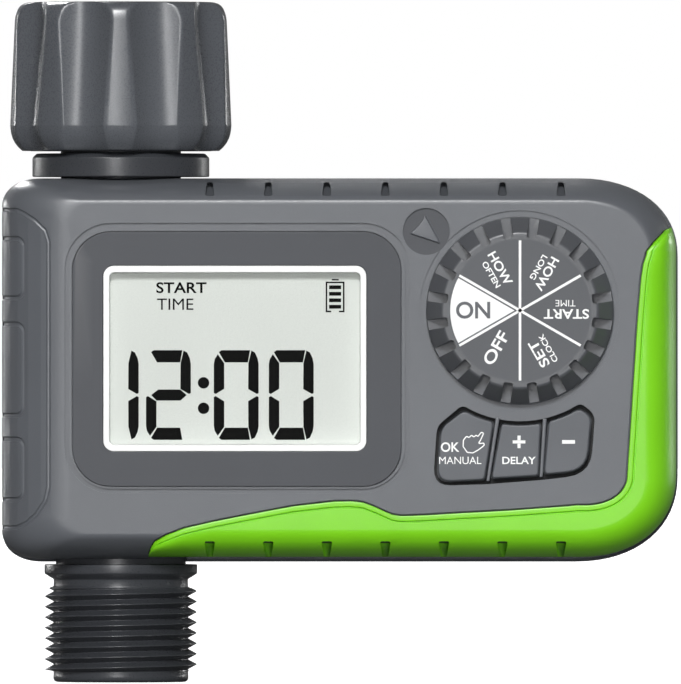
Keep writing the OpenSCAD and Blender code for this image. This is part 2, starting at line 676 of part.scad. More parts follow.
front_shell();
rear_shell();
case_gasket();
green_trim();
case_screws();
display_bezel();
window_frame();
display_lens();
lcd_panel();
lcd_holder();
zebra_strips();
main_board();
board_parts();
rotary_switch();
dial_knob();
dial_shaft();
dial_seal();
keypad_seal();
key_ok();
key_plus();
key_minus();
plunger_ok();
plunger_plus();
plunger_minus();
tact_switches();
coupling_nut();
inlet_tailpiece();
inlet_washer();
filter_screen();
tailpiece_seal();
tailpiece_clip();
valve_body();
outlet_seal();
diaphragm();
diaphragm_insert();
diaphragm_spring();
valve_bonnet();
bonnet_screws();
solenoid_coil();
solenoid_yoke();
core_tube();
solenoid_plunger();
plunger_spring();
solenoid_leads();
battery_box();
battery_contacts();
batteries();
battery_leads();
battery_door();
door_gasket();
door_lock();
hinge_pin();
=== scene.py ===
"""Looks of the irrigation controller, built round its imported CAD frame. All shapes are in mm."""

import math

import bmesh
import bpy
from mathutils import Matrix, Vector


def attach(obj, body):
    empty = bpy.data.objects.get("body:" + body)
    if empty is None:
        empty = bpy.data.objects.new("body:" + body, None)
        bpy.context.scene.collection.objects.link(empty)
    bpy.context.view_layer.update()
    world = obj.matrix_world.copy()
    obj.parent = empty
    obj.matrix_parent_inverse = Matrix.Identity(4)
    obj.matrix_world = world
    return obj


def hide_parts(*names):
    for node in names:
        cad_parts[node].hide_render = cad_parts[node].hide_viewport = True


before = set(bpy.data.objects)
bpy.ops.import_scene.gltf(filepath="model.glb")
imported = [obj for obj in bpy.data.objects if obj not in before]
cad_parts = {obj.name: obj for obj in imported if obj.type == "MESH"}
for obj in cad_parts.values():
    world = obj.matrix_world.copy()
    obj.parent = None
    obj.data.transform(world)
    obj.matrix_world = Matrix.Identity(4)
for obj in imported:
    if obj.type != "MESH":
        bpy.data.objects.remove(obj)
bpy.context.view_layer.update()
MM = 0.001

# ---- mesh helpers ----


def mesh_object(name, points, faces):
    """A new object from points in mm, with its normals turned outwards."""
    mesh = bpy.data.meshes.new(name)
    mesh.from_pydata([Vector(p) * MM for p in points], [], faces)
    tidy = bmesh.new()
    tidy.from_mesh(mesh)
    bmesh.ops.remove_doubles(tidy, verts=tidy.verts, dist=1e-7)
    bmesh.ops.recalc_face_normals(tidy, faces=tidy.faces)
    tidy.to_mesh(mesh)
    tidy.free()
    obj = bpy.data.objects.new(name, mesh)
    bpy.context.scene.collection.objects.link(obj)
    return obj


def loft(rings, close=False):
    """Points and faces of a closed skin through rings with the same number of points."""
    n = len(rings[0])
    points = [p for ring in rings for p in ring]
    faces = []
    last = len(rings) if close else len(rings) - 1
    for k in range(last):
        a, b = k * n, (k + 1) % len(rings) * n
        for i in range(n):
            j = (i + 1) % n
            faces.append((a + i, a + j, b + j, b + i))
    if not close:
        faces.append(tuple(reversed(range(n))))
        faces.append(tuple(range(len(points) - n, len(points))))
    return points, faces


def lathe(profile, steps, start=0.0):
    """A closed profile of (radius, height) turned round Z."""
    rings = []
    for i in range(steps):
        a = start + 2 * math.pi * i / steps
        rings.append([(r * math.cos(a), r * math.sin(a), z) for r, z in profile])
    return loft(rings, close=True)


def aimed(points, axis, centre=(0, 0, 0)):
    """Points drawn round Z, turned so that Z points along -Y, +Y or +X, then moved."""
    turns = {"-y": lambda p: (p[0], -p[2], p[1]), "+y": lambda p: (-p[0], p[2], p[1]),
             "x": lambda p: (p[2], p[0], p[1]), "z": lambda p: p}
    cx, cy, cz = centre
    return [(q[0] + cx, q[1] + cy, q[2] + cz) for q in map(turns[axis], points)]


def prism(outline, y0, y1):
    """An outline of (x, z) points drawn from y0 to y1."""
    return loft([[(x, y0, z) for x, z in outline], [(x, y1, z) for x, z in outline]])


def joined(parts):
    """Several (points, faces) in one."""
    points, faces = [], []
    for more_points, more_faces in parts:
        base = len(points)
        points += list(more_points)
        faces += [tuple(base + i for i in f) for f in more_faces]
    return points, faces


def round_box(cx, cz, w, h, r, steps=8):
    """Outline of a rectangle with rounded corners."""
    out = []
    for k, (sx, sz) in enumerate([(1, 1), (-1, 1), (-1, -1), (1, -1)]):
        for i in range(steps + 1):
            a = math.radians(90 * k + 90 * i / steps)
            out.append((cx + sx * (w / 2 - r) + r * math.cos(a),
                        cz + sz * (h / 2 - r) + r * math.sin(a)))
    return out


def disc(cx, cz, r, steps=96):
    turns = [2 * math.pi * i / steps for i in range(steps)]
    return [(cx + r * math.cos(a), cz + r * math.sin(a)) for a in turns]


def rounded(outline, r, steps=5):
    """A polygon of (x, z) corners, each rounded by r, or by its own entry where r is a list."""
    out = []
    n = len(outline)
    for i in range(n):
        here = Vector(outline[i])
        back = Vector(outline[i - 1]) - here
        ahead = Vector(outline[(i + 1) % n]) - here
        turn = math.pi - back.angle(ahead)
        if turn < math.radians(14):
            out.append(tuple(here))
            continue
        radius = r[i] if isinstance(r, list) else r
        reach = min(radius * math.tan(turn / 2), back.length * 0.47, ahead.length * 0.47)
        p, q = here + back.normalized() * reach, here + ahead.normalized() * reach
        for k in range(steps + 1):
            t = k / steps
            out.append(tuple((1 - t) ** 2 * p + 2 * t * (1 - t) * here + t * t * q))
    return out


def baked(obj):
    """Applies the modifiers that an object has so far."""
    bpy.context.view_layer.update()
    graph = bpy.context.evaluated_depsgraph_get()
    mesh = bpy.data.meshes.new_from_object(obj.evaluated_get(graph))
    obj.modifiers.clear()
    old = obj.data
    obj.data = mesh
    bpy.data.meshes.remove(old)
    return obj


def combine(obj, shape, operation="DIFFERENCE"):
    """Cuts, joins or crosses an object with (points, faces)."""
    tool = mesh_object("tool", *shape)
    step = obj.modifiers.new("combine", "BOOLEAN")
    step.operation = operation
    step.solver = "EXACT"
    step.use_self = True
    step.object = tool
    baked(obj)
    bpy.data.objects.remove(tool)
    return obj


def cut(obj, *shapes):
    """Cuts the shapes out of an object one after another."""
    for shape in shapes:
        combine(obj, shape)


def flat_regions(skin):
    """The area of the flat region each face belongs to, however it was cut up."""
    area = [0.0] * len(skin.faces)
    seen = [False] * len(skin.faces)
    for face in skin.faces:
        if seen[face.index]:
            continue
        seen[face.index] = True
        members, total, k = [face], 0.0, 0
        while k < len(members):
            total += members[k].calc_area()
            for edge in members[k].edges:
                for other in edge.link_faces:
                    if not seen[other.index] and face.normal.dot(other.normal) > 0.99999:
                        seen[other.index] = True
                        members.append(other)
            k += 1
        for member in members:
            area[member.index] = total
    return area


def fan_normal(loop, area):
    """The normal of the smooth fan of faces round one corner, led by the largest flat region."""
    members, queue = {loop.face}, [loop.face]
    while queue:
        face = queue.pop()
        for edge in loop.vert.link_edges:
            if edge.smooth and face in edge.link_faces:
                for other in edge.link_faces:
                    if other not in members:
                        members.add(other)
                        queue.append(other)
    total = Vector((0, 0, 0))
    for face in members:
        total += face.normal * area[face.index]
    return total.normalized() if total.length > 0 else loop.face.normal


def smooth(obj, angle=35):
    """Smooth shading that keeps edges sharper than the angle, and flat faces flat to their rims."""
    obj.data.shade_smooth()
    skin = bmesh.new()
    skin.from_mesh(obj.data)
    skin.faces.ensure_lookup_table()
    limit = math.radians(angle)
    for edge in skin.edges:
        edge.smooth = len(edge.link_faces) == 2 and edge.calc_face_angle(0) < limit
    area = flat_regions(skin)
    normals = [fan_normal(loop, area) for face in skin.faces for loop in face.loops]
    skin.to_mesh(obj.data)
    skin.free()
    obj.data.normals_split_custom_set(normals)


def bevelled(obj, width, segments=2, angle=35, shade=40):
    """Rounds every edge sharper than the angle."""
    step = obj.modifiers.new("bevel", "BEVEL")
    step.width = width * MM
    step.segments = segments
    step.limit_method = "ANGLE"
    step.angle_limit = math.radians(angle)
    step.use_clamp_overlap = True
    step.loop_slide = True
    step.miter_outer = "MITER_ARC"
    baked(obj)
    clean(obj)
    smooth(obj, shade)
    return obj


def clean(obj):
    """Takes out doubled points, stray edges and faces with no area."""
    tidy = bmesh.new()
    tidy.from_mesh(obj.data)
    bmesh.ops.remove_doubles(tidy, verts=tidy.verts, dist=2e-7)
    bmesh.ops.dissolve_degenerate(tidy, edges=tidy.edges, dist=2e-7)
    loose = [v for v in tidy.verts if not v.link_faces]
    bmesh.ops.delete(tidy, geom=loose, context="VERTS")
    tidy.to_mesh(obj.data)
    tidy.free()


def placed(obj, body, slot, finish, *nodes):
    """Gives a piece its material, its body and the CAD nodes that it stands for."""
    obj.data.materials.clear()
    obj.data.materials.append(finish)
    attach(obj, body)
    if nodes:
        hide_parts(*nodes)
    return obj


def piece(name, shape, angle, *place):
    """An object from (points, faces), smoothed and placed in one step."""
    obj = mesh_object(name, *shape)
    smooth(obj, angle)
    return placed(obj, *place)


# ---- materials ----


class Nodes:
    """A material's node tree with short ways to add and join nodes."""

    def __init__(self, name):
        self.material = bpy.data.materials.new(name)
        self.material.use_nodes = True
        self.tree = self.material.node_tree
        self.tree.nodes.clear()
        self.shader = self.add("ShaderNodeBsdfPrincipled")
        output = self.add("ShaderNodeOutputMaterial")
        self.join(self.shader, "BSDF", output, "Surface")
        self.place = self.add("ShaderNodeTexCoord")

    def add(self, kind, **values):
        node = self.tree.nodes.new(kind)
        for key, value in values.items():
            setattr(node, key, value)
        return node

    def join(self, a, out, b, into):
        self.tree.links.new(a.outputs[out], b.inputs[into])

    def set(self, **values):
        for key, value in values.items():
            self.shader.inputs[key.replace("_", " ")].default_value = value

    def noise(self, size, detail=3.0, stretch=(1, 1, 1)):
        """Noise with features of about this size in mm, in the object's own space."""
        at = self.place.outputs["Object"]
        if stretch != (1, 1, 1):
            scale = self.add("ShaderNodeMapping")
            scale.inputs["Scale"].default_value = stretch
            self.tree.links.new(at, scale.inputs["Vector"])
            at = scale.outputs["Vector"]
        noise = self.add("ShaderNodeTexNoise")
        noise.inputs["Scale"].default_value = 1 / (size * MM)
        noise.inputs["Detail"].default_value = detail
        self.tree.links.new(at, noise.inputs["Vector"])
        return noise

    def ranged(self, source, out, lo, hi, from_lo=0.3, from_hi=0.7):
        ranged = self.add("ShaderNodeMapRange")
        ranged.inputs["From Min"].default_value = from_lo
        ranged.inputs["From Max"].default_value = from_hi
        ranged.inputs["To Min"].default_value = lo
        ranged.inputs["To Max"].default_value = hi
        self.join(source, out, ranged, "Value")
        return ranged

    def mixed(self, factor, out, first, second):
        """Two colours, or a node's colour and a colour, mixed by a factor."""
        mix = self.add("ShaderNodeMix", data_type="RGBA")
        self.join(factor, out, mix, "Factor")
        for socket, value in ((mix.inputs[6], first), (mix.inputs[7], second)):
            if isinstance(value, tuple):
                socket.default_value = (*value, 1)
            else:
                self.tree.links.new(value.outputs[2], socket)
        return mix

    def bump(self, source, out, distance, strength=1.0, under=None):
        bump = self.add("ShaderNodeBump")
        bump.inputs["Distance"].default_value = distance * MM
        bump.inputs["Strength"].default_value = strength
        self.join(source, out, bump, "Height")
        if under:
            self.join(under, "Normal", bump, "Normal")
        return bump


def linear(code):
    """A hex colour as linear RGB."""
    parts = [int(code[i:i + 2], 16) / 255 for i in (1, 3, 5)]
    return tuple(c / 12.92 if c < 0.04045 else ((c + 0.055) / 1.055) ** 2.4 for c in parts)


def shade(colour, k):
    return tuple(min(1, c * k) for c in colour)


def plastic(name, code, rough=0.45, grain=0.22, depth=0.012, drift=0.07, wear=0.25, coat=0.0,
            gloss=0.5):
    """Moulded plastic: a fine spark-eroded grain, a slow drift of tone and paler worn edges."""
    n = Nodes(name)
    colour = linear(code)
    fine = n.noise(grain, 4)
    slow = n.noise(14, 2)
    tone = n.mixed(n.ranged(slow, "Fac", 0, 1), "Result",
                   shade(colour, 1 - drift), shade(colour, 1 + drift))
    speck = n.mixed(n.ranged(fine, "Fac", 0, 0.35, 0.55, 0.8), "Result",
                    tone, shade(colour, 1.22))
    edges = n.add("ShaderNodeNewGeometry")
    worn = n.ranged(edges, "Pointiness", 0, wear, 0.575, 0.68)
    paint = n.mixed(worn, "Result", speck, tuple(c * 0.6 + 0.28 for c in colour))
    n.tree.links.new(paint.outputs[2], n.shader.inputs["Base Color"])
    n.join(n.ranged(fine, "Fac", rough - 0.05, rough + 0.07), "Result", n.shader, "Roughness")
    n.join(n.bump(fine, "Fac", depth), "Normal", n.shader, "Normal")
    n.set(Coat_Weight=coat, Coat_Roughness=0.15, Specular_IOR_Level=gloss)
    return n.material


def rubber(name, code, rough=0.62):
    return plastic(name, code, rough, grain=0.35, depth=0.01, drift=0.05, wear=0.1)


def metal(name, code, rough=0.3):
    """Drawn or turned metal: fine lines along one way and a little tarnish."""
    n = Nodes(name)
    colour = linear(code)
    lines = n.noise(0.25, 3, (1, 1, 0.06))
    stain = n.noise(5, 3)
    tone = n.mixed(n.ranged(stain, "Fac", 0, 1), "Result", shade(colour, 0.8), colour)
    n.tree.links.new(tone.outputs[2], n.shader.inputs["Base Color"])
    n.join(n.ranged(lines, "Fac", rough - 0.08, rough + 0.12), "Result", n.shader, "Roughness")
    n.join(n.bump(lines, "Fac", 0.004), "Normal", n.shader, "Normal")
    n.set(Metallic=1.0)
    return n.material


def liquid_crystal(name, code):
    """The pale back of the display, seen through its polariser: a very fine grain."""
    n = Nodes(name)
    colour = linear(code)
    fine = n.noise(0.3, 5)
    wide = n.noise(22, 1)
    tone = n.mixed(n.ranged(wide, "Fac", 0, 1), "Result", shade(colour, 0.97), shade(colour, 1.03))
    speck = n.mixed(n.ranged(fine, "Fac", 0, 0.6), "Result", tone, shade(colour, 0.86))
    n.tree.links.new(speck.outputs[2], n.shader.inputs["Base Color"])
    n.join(n.ranged(fine, "Fac", 0.35, 0.5), "Result", n.shader, "Roughness")
    n.join(n.bump(fine, "Fac", 0.003), "Normal", n.shader, "Normal")
    return n.material


def clear_window(name):
    """Clear sheet: nearly invisible, with a gloss and the faintest smear."""
    n = Nodes(name)
    smear = n.noise(9, 3, (1, 1, 0.4))
    n.set(Base_Color=(0.02, 0.025, 0.02, 1), Alpha=0.035)
    n.join(n.ranged(smear, "Fac", 0.03, 0.11), "Result", n.shader, "Roughness")
    return n.material


CASE = plastic("case plastic", "#5c5f64", 0.34, drift=0.035, wear=0.0)
BACK = plastic("back plastic", "#414448", 0.48, wear=0.0)
TRIM = plastic("trim plastic", "#80d61c", 0.36, grain=0.2, depth=0.008, drift=0.04, wear=0.0)
PIPE = plastic("pipe plastic", "#3a3c40", 0.3, depth=0.006)
NUT = plastic("nut plastic", "#54575c", 0.28, grain=0.25, depth=0.002, drift=0.04, wear=0.12)
BEZEL = plastic("bezel plate", "#484a4f", 0.42, grain=0.3, depth=0.003, drift=0.03, wear=0.3,
                gloss=0.3)
WHITE = plastic("white print", "#f4f5f4", 0.35, grain=0.3, depth=0.002, drift=0.015, wear=0.0)
DIAL = plastic("dial plastic", "#54565a", 0.34, grain=0.25, depth=0.004, drift=0.04)
DIAL_FACE = plastic("dial face", "#5a5c60", 0.5, grain=0.25, depth=0.004, drift=0.03, gloss=0.3)
KEYS = plastic("key rubber", "#5b5e63", 0.5, grain=0.3, depth=0.012, wear=0.0)
DARK_RUBBER = rubber("dark rubber", "#202224")
# Near-black rubber under the gaps round the keys: a real rubber surround, its colour darkened to paint
# the shade in the narrow gaps.
GAP_SHADE_RUBBER = rubber("gap rubber with painted shade", "#0b0c0e", 0.7)
DARK_GREY = plastic("dark grey print", "#515358", 0.4, grain=0.3, depth=0.002, wear=0.0)
DARK_INK = plastic("dark ink", "#0b0b0b", 0.6, grain=0.3, depth=0.002, wear=0.0, gloss=0.05)
STEEL = metal("steel", "#c3c6ca", 0.28)
BRASS = metal("contact plate", "#d2c8a0", 0.3)
LCD = liquid_crystal("display back", "#dfe4de")
GLASS = clear_window("display window")
BOARD = plastic("board lacquer", "#2c6a3b", 0.3, grain=0.5, depth=0.01, drift=0.15, coat=0.4)
CHIP = plastic("chip body", "#1d1e20", 0.5)
PALE = plastic("pale plastic", "#e6e6e2", 0.4, drift=0.03)
PINK = rubber("zebra rubber", "#e39aa0")
RED = plastic("red plastic", "#b03a2e", 0.4)
TAPE = plastic("coil tape", "#8a3028", 0.35, grain=0.6, depth=0.02, coat=0.2)
LEAD = rubber("lead sleeve", "#b8352b", 0.45)
WRAP = plastic("cell sleeve", "#31506b", 0.28, grain=0.8, depth=0.003, coat=0.3)
GREY_METAL = metal("lock metal", "#8c9095", 0.34)

# ---- the case ----

LEFT, RIGHT, TOP, BOTTOM = -20.5, 95.9, -30.6, -96.5
FACE = 20.5                 # depth of the front face
EDGE = 11                   # depth where the front edge starts to round over
POWER = 2 / 2.2             # of the super-elliptic corners
PANEL = (20.2, -61.9)       # centre of the display plate
WINDOW = (19.85, -61.8)     # centre of the window
DIAL_AT = (69.1, -53.5)
NOTCHES = [15.5 + 10.12 * i for i in range(7)]


def corner(cx, cz, a, b, start, steps):
    out = []
    for i in range(steps + 1):
        t = math.radians(start + 90 * i / steps)
        c, s = math.cos(t), math.sin(t)
        out.append((cx + a * math.copysign(abs(c) ** POWER, c),
                    cz + b * math.copysign(abs(s) ** POWER, s)))
    return out


def case_outline(left, right, bottom, top, steps=16):
    """The case's outline drawn in by different amounts on its four sides."""
    x0, x1, z0, z1 = LEFT + left, RIGHT - right, BOTTOM + bottom, TOP - top
    a, b = max(7 - left / 3, 2), max(5 - bottom / 3, 2)
    d = max(5 - top / 3, 2)
    lower = (max(17.2 - right, 5), max(14.4 - bottom, 4))
    upper = (max(16.5 - right, 5), max(13.5 - top, 4))
    return (corner(x0 + a, z0 + b, a, b, 180, steps)
            + corner(x1 - lower[0], z0 + lower[1], *lower, 270, steps)
            + corner(x1 - upper[0], z1 - upper[1], *upper, 0, steps)
            + corner(x0 + a, z1 - d, a, d, 90, steps))


def at_depth(outline, depth):
    return [(x, depth, z) for x, z in outline]


# The front edge: how far it has come in at each depth, with a crease where it meets the face
EDGE_STEPS = [(0, 11), (0.1, 12.3), (0.34, 13.8), (0.8, 15.5), (1.45, 17.1), (2.2, 18.5),
              (2.95, 19.55), (3.5, 20.1), (3.8, 20.33), (4.1, 20.45), (4.5, FACE)]


def left_inset(depth):
    """The left side rounds over more slowly than the others, like a column over the pipe."""
    return 12 * (1 - math.sqrt(max(0, 1 - ((depth - EDGE) / (FACE - EDGE)) ** 2)))


def front_skin():
    rings = []
    for inset, depth in reversed(EDGE_STEPS):
        rings.append(at_depth(case_outline(left_inset(depth), inset, inset, inset), -depth))
    rings.append(at_depth(case_outline(0, 0, 0, 0), -0.4))
    for left, inset, depth in [(2.2, 2.2, 0.4), (2.8, 2.3, 11), (5.2, 3.2, 14.5), (11, 5.6, 18)]:
        rings.append(at_depth(case_outline(left, inset, inset, inset), -depth))
    return loft(rings)


def aimed_lathe(profile, steps, axis="z", centre=(0, 0, 0)):
    """A solid of revolution whose profile starts and ends on its axis, as one closed skin."""
    inner = profile[1:-1]
    rings = []
    for r, z in inner:
        rings.append([(r * math.cos(2 * math.pi * i / steps), r * math.sin(2 * math.pi * i / steps), z)
                      for i in range(steps)])
    points, faces = loft(rings)
    return aimed(points, axis, centre), faces


def rod_z(z0, z1, r, steps=96):
    return aimed_lathe([(0, z0), (r, z0), (r, z1), (0, z1)], steps)


def ring_prism(outline, width, y0, y1):
    """A band of even width inside an outline, drawn from y0 to y1."""
    inner = offset(outline, -width)
    rings = [at_depth(outline, y0), at_depth(outline, y1), at_depth(inner, y1),
             at_depth(inner, y0)]
    return loft(rings, close=True)


def notch(x, z_far, z_near, far, near, floor_far, floor_near):
    """A grip notch in the edge, wider and deeper towards the face."""
    corners = [(x - far / 2, z_far), (x + far / 2, z_far), (x + near / 2, z_near),
               (x - near / 2, z_near)]
    outline = rounded(corners, 0.35, 3)
    floor = []
    for px, pz in outline:
        share = (pz - z_far) / (z_near - z_far)
        floor.append((px, -(floor_far + (floor_near - floor_far) * share), pz))
    return loft([at_depth(outline, -24), floor])


KEY_ARC = 19.75


def arc_about_dial(a0, a1, r, steps=14):
    out = []
    for i in range(steps + 1):
        a = math.radians(a0 + (a1 - a0) * i / steps)
        out.append((DIAL_AT[0] + r * math.cos(a), DIAL_AT[1] + r * math.sin(a)))
    return out


def key_arc(a0, a1, g, gap, steps=16):
    """The side of a key along the dial, with room at its ends for rounded corners."""
    arc = arc_about_dial(a0 + 3 * g, a1 - 3 * g, KEY_ARC - g, steps)
    a, b = Vector(arc[0]), Vector(arc[-1])
    middle = [p for p in arc if min((Vector(p) - a).length, (Vector(p) - b).length) > gap]
    return [arc[0]] + middle + [arc[-1]]


def key_outline(name, g):
    """A key's rounded outline, grown by g."""
    if name == "ok":
        foot = [(54.7 - g, -83.2 - g), (63.06 + g, -82.8 - g)]
        arc = key_arc(-103, -119.5, g, 1.9)
        radii = [2.2, 0.8, 0.8] + [0] * (len(arc) - 2) + [1.6, 3.0]
        return rounded(foot + arc + [(55.4 - g, -73.8 + g / 2)], radii)
    if name == "plus":
        foot = [(64.1 - g, -82.6 - g), (72.35 + g, -82.1 - g)]
        return rounded(foot + key_arc(-79.3, -99.4, g, 0.9), 0.6)
    foot = [(73.2 - g, -81.9 - g), (80.7 + g, -81.2 - g)]
    arc = key_arc(-58.5, -75.6, g, 1.9)
    radii = [0.8, 4.6, 2.0, 1.6] + [0] * (len(arc) - 2) + [0.8]
    return rounded(foot + [(81.5 + g, -71.8 + g / 2)] + arc, radii)


def keypad_outline(g):
    """The pocket round all three keys."""
    foot = [(54.7 - g, -83.2 - g), (63.4, -82.9 - g), (72.6, -82.2 - g), (80.7 + g, -81.2 - g)]
    arc = key_arc(-58.5, -119.5, g, 1.9, 32)
    radii = [2.2 + g, 0, 0, 4.6 + g, 2.0 + g, 1.6 + g] + [0] * (len(arc) - 2) + [1.6 + g, 3.0]
    outline = foot + [(81.5 + g, -71.8 + g / 2)] + arc + [(55.4 - g, -73.8 + g / 2)]
    return rounded(outline, radii)


def left_point(u, z, lift=0.0):
    """A point of the rounded left side: u runs round it in mm, 0 where the flat side ends."""
    if u < 0:
        return (LEFT - lift, -(EDGE + u), z)
    a = u / 10.4
    return (LEFT + 12 * (1 - math.cos(a)) - lift * math.cos(a),
            -(EDGE + (FACE - EDGE) * math.sin(a)) - lift * math.sin(a), z)


def tube(path, r, close, sides=10):
    """A round tube along a path of points in space."""
    rings = []
    n = len(path)
    for i, p in enumerate(path):
        before = path[(i - 1) % n] if close or i else p
        after = path[(i + 1) % n] if close or i < n - 1 else p
        along = (Vector(after) - Vector(before)).normalized()
        away = Vector((p[0] - 5, (p[1] + 2) * 1.2, 0)).normalized()
        side = along.cross(away).normalized()
        up = side.cross(along).normalized()
        ring = []
        for k in range(sides):
            t = 2 * math.pi * k / sides
            ring.append(tuple(Vector(p) + side * r * math.cos(t) + up * r * math.sin(t)))
        rings.append(ring)
    return loft(rings, close=close)


def finely(outline, step=0.6, close=True):
    """The outline with points added so that none are further apart than the step."""
    out = []
    n = len(outline)
    for i in range(n if close else n - 1):
        a, b = Vector(outline[i]), Vector(outline[(i + 1) % n])
        parts = max(1, int((b - a).length / step))
        out += [tuple(a.lerp(b, k / parts)) for k in range(parts)]
    if not close:
        out.append(outline[-1])
    return out


def grip_grooves():
    """Fine grooves of the grip on the left: three rounded windows and one long bow."""
    cuts = []
    for z0, z1 in [(-41.0, -51.3), (-55.8, -71.6), (-75.7, -86.2)]:
        loop = finely(round_box(1.0, (z0 + z1) / 2, 14.9, z0 - z1, 1.5, 6))
        cuts.append(tube([left_point(u, z, 0.05) for u, z in loop], 0.46, True))
    bow = [(-6, -36.0), (7.0, -36.1), (8.6, -36.7), (10.6, -37.9), (12.3, -39.6), (12.9, -41.6),
           (12.9, -84), (12.4, -86.4), (11.0, -88.6), (9.2, -90.2), (7.0, -91.0), (-6, -91.1)]
    path = finely(bow, 0.6, close=False)
    cuts.append(tube([left_point(u, z, 0.05) for u, z in path], 0.42, False))
    return cuts


def front_shell():
    shell = mesh_object("front_shell_detailed", *front_skin())
    cut(shell,
        prism(round_box(*PANEL, 57.1, 44.3, 6.8, 12), -FACE - 1, -FACE + 1),
        prism(round_box(*WINDOW, 44.6, 31.2, 1.5), -FACE + 0.5, -10),
        prism(disc(*DIAL_AT, 17.3), -FACE - 1, -FACE + 0.4),
        prism(disc(*DIAL_AT, 3.2, 48), -FACE - 1, -10),
        prism(disc(52.94, -39.84, 4.07, 64), -FACE - 1, -FACE + 0.5),
        prism(keypad_outline(0.62), -FACE - 1, -10),
        rod_z(TOP - 5, TOP + 1, 10.5),
        rod_z(BOTTOM - 1, BOTTOM + 5, 11.4),
        joined([notch(x, -31.3, -33.7, 1.0, 1.6, 11.4, 17.8) for x in NOTCHES]))
    groove = round_box(20.25, -61.715, 59.6, 46.7, 8, 12)
    cut(shell,
        ring_prism(groove, 0.75, -FACE - 1, -FACE + 0.55),
        trim_seat())
    bevelled(shell, 0.2, 2, 38)
    cut(shell, *grip_grooves())
    smooth(shell, 34)
    return placed(shell, "root", "case_plastic", CASE, "front_shell")


def rear_skin():
    rings = []
    steps = [(10, 4.2, 18.8), (3.6, 2.3, 14), (2.2, 2.2, 0.4)]
    for left, inset, depth in steps:
        rings.append(at_depth(case_outline(left, inset, inset, inset), depth))
    rings.append(at_depth(case_outline(0, -0.72, -0.55, 0), 0.4))
    for k in range(13):
        a = math.radians(90 * k / 12)
        inset = 4 * (1 - math.cos(a))
        depth = 11 + 10 * math.sin(a)
        left = 11 * (1 - math.cos(a))
        grown = inset - 0.72 * math.cos(a)
        below = inset - 0.55 * math.cos(a)
        rings.append(at_depth(case_outline(left, grown, below, inset), depth))
    return loft(rings)


HINGE = (30.5, 23.1)
LOCK = (62, -45.2)
SCREWS = [(-15, -38.2), (-15, -89.2), (24, -37.2), (24, -90), (85, -40), (84, -88)]
BAY = (61.75, -64.5)


def rear_shell():
    shell = mesh_object("rear_shell_detailed", *rear_skin())
    cut(shell,
        prism(round_box(*BAY, 54.5, 30, 3), 16, 24),
        prism(disc(*LOCK, 2.8, 48), 16, 24))
    slot = [(LOCK[0], LOCK[1] - 1.5), (LOCK[0] + 5.4, LOCK[1] - 1.5),
            (LOCK[0] + 5.4, LOCK[1] + 1.5), (LOCK[0], LOCK[1] + 1.5)]
    combine(shell, prism(slot, 16, 24))
    combine(shell, joined([prism(disc(x, z, 3.2, 40), 14.8, 20.2) for x, z in SCREWS]), "UNION")
    cut(shell,
        joined([prism(disc(x, z, 2.5, 40), 14.8, 24) for x, z in SCREWS]),
        rod_z(TOP - 5, TOP + 1, 10.5),
        rod_z(BOTTOM - 1, BOTTOM + 5, 11.4))
    combine(shell, joined([hinge_ear(-57), hinge_ear(-79)]), "UNION")
    ribs = [prism(round_box(-6.5, z, 17, 1.3, 0.6, 4), 20.2, 21.45) for z in range(-84, -42, 5)]
    combine(shell, joined(ribs), "UNION")
    pins = pipe_z(HINGE, -80, -50, 0.92)
    combine(shell, pins)
    bevelled(shell, 0.25, 2, 38)
    return placed(shell, "root", "back_plastic", BACK, "rear_shell")


def pipe_z(centre, z0, z1, r, steps=40):
    points, faces = rod_z(z0, z1, r, steps)
    return [(x + centre[0], y + centre[1], z) for x, y, z in points], faces


def hinge_ear(z0):
    """One knuckle of the shell's half of the hinge: a foot that runs into a round eye."""
    eye = []
    for i in range(25):
        a = math.radians(180 * i / 24)
        eye.append((HINGE[0] + 2 * math.cos(a), HINGE[1] + 2 * math.sin(a)))
    foot = [(HINGE[0] - 3.2, 20.2), (HINGE[0] + 2, 20.2)]
    outline = foot + eye
    return loft([[(x, y, z0) for x, y in outline], [(x, y, z0 + 6) for x, y in outline]])


# ---- the trim ----

SIDE, BELOW, CORNER, UPPER = 2, 0, 1, 3
TRIM_REACH = {
    BELOW: [(4.9, 0.8), (5.4, 2.2), (6, 3.1), (8, 4.2), (11, 5.35), (16, 6.5), (22, 7.7), (30, 9.2),
            (37, 10.0), (40, 10.05), (42, 9.85), (44, 9.1), (45.5, 8.4), (47, 7.75), (48.5, 7.5),
            (52, 7.6), (58, 7.95), (68, 8.5), (78, 9.25)],
    CORNER: [(-90, 9.4), (-45, 8.8), (0, 8.2)],
    SIDE: [(-81, 8.2), (-76, 7.85), (-66, 7.2), (-56, 6.55), (-48, 5.9), (-44.2, 5.3)],
    UPPER: [(4, 4.9), (8, 4.2), (12, 3.4), (15, 2.4), (18, 1.2), (19, 0.8)],
}


def looked_up(table, at):
    if at <= table[0][0]:
        return table[0][1]
    for (x0, y0), (x1, y1) in zip(table, table[1:]):
        if at <= x1:
            return y0 + (y1 - y0) * (at - x0) / (x1 - x0)
    return table[-1][1]


def trim_stations():
    """(side, place) all along the trim, from its tail below the pipe to its upper tip."""
    out = []
    below = [4.9, 5.15, 5.4, 5.7, 6, 7, 8, 9.5]
    below += [11 + 1.2 * i for i in range(22)]
    below += [37.2 + 0.7 * i for i in range(18)]
    below += [50.5 + 2.2 * i for i in range(12)]
    out += [(BELOW, x) for x in below]
    out += [(BELOW, 77.6)]
    out += [(CORNER, -88 + 3.5 * i) for i in range(25)]
    out += [(SIDE, -81.2 + 2.1 * i) for i in range(18)]
    out += [(UPPER, a) for a in (2, 4, 6, 8, 10, 12, 14, 15, 16, 17, 18, 19)]
    return out


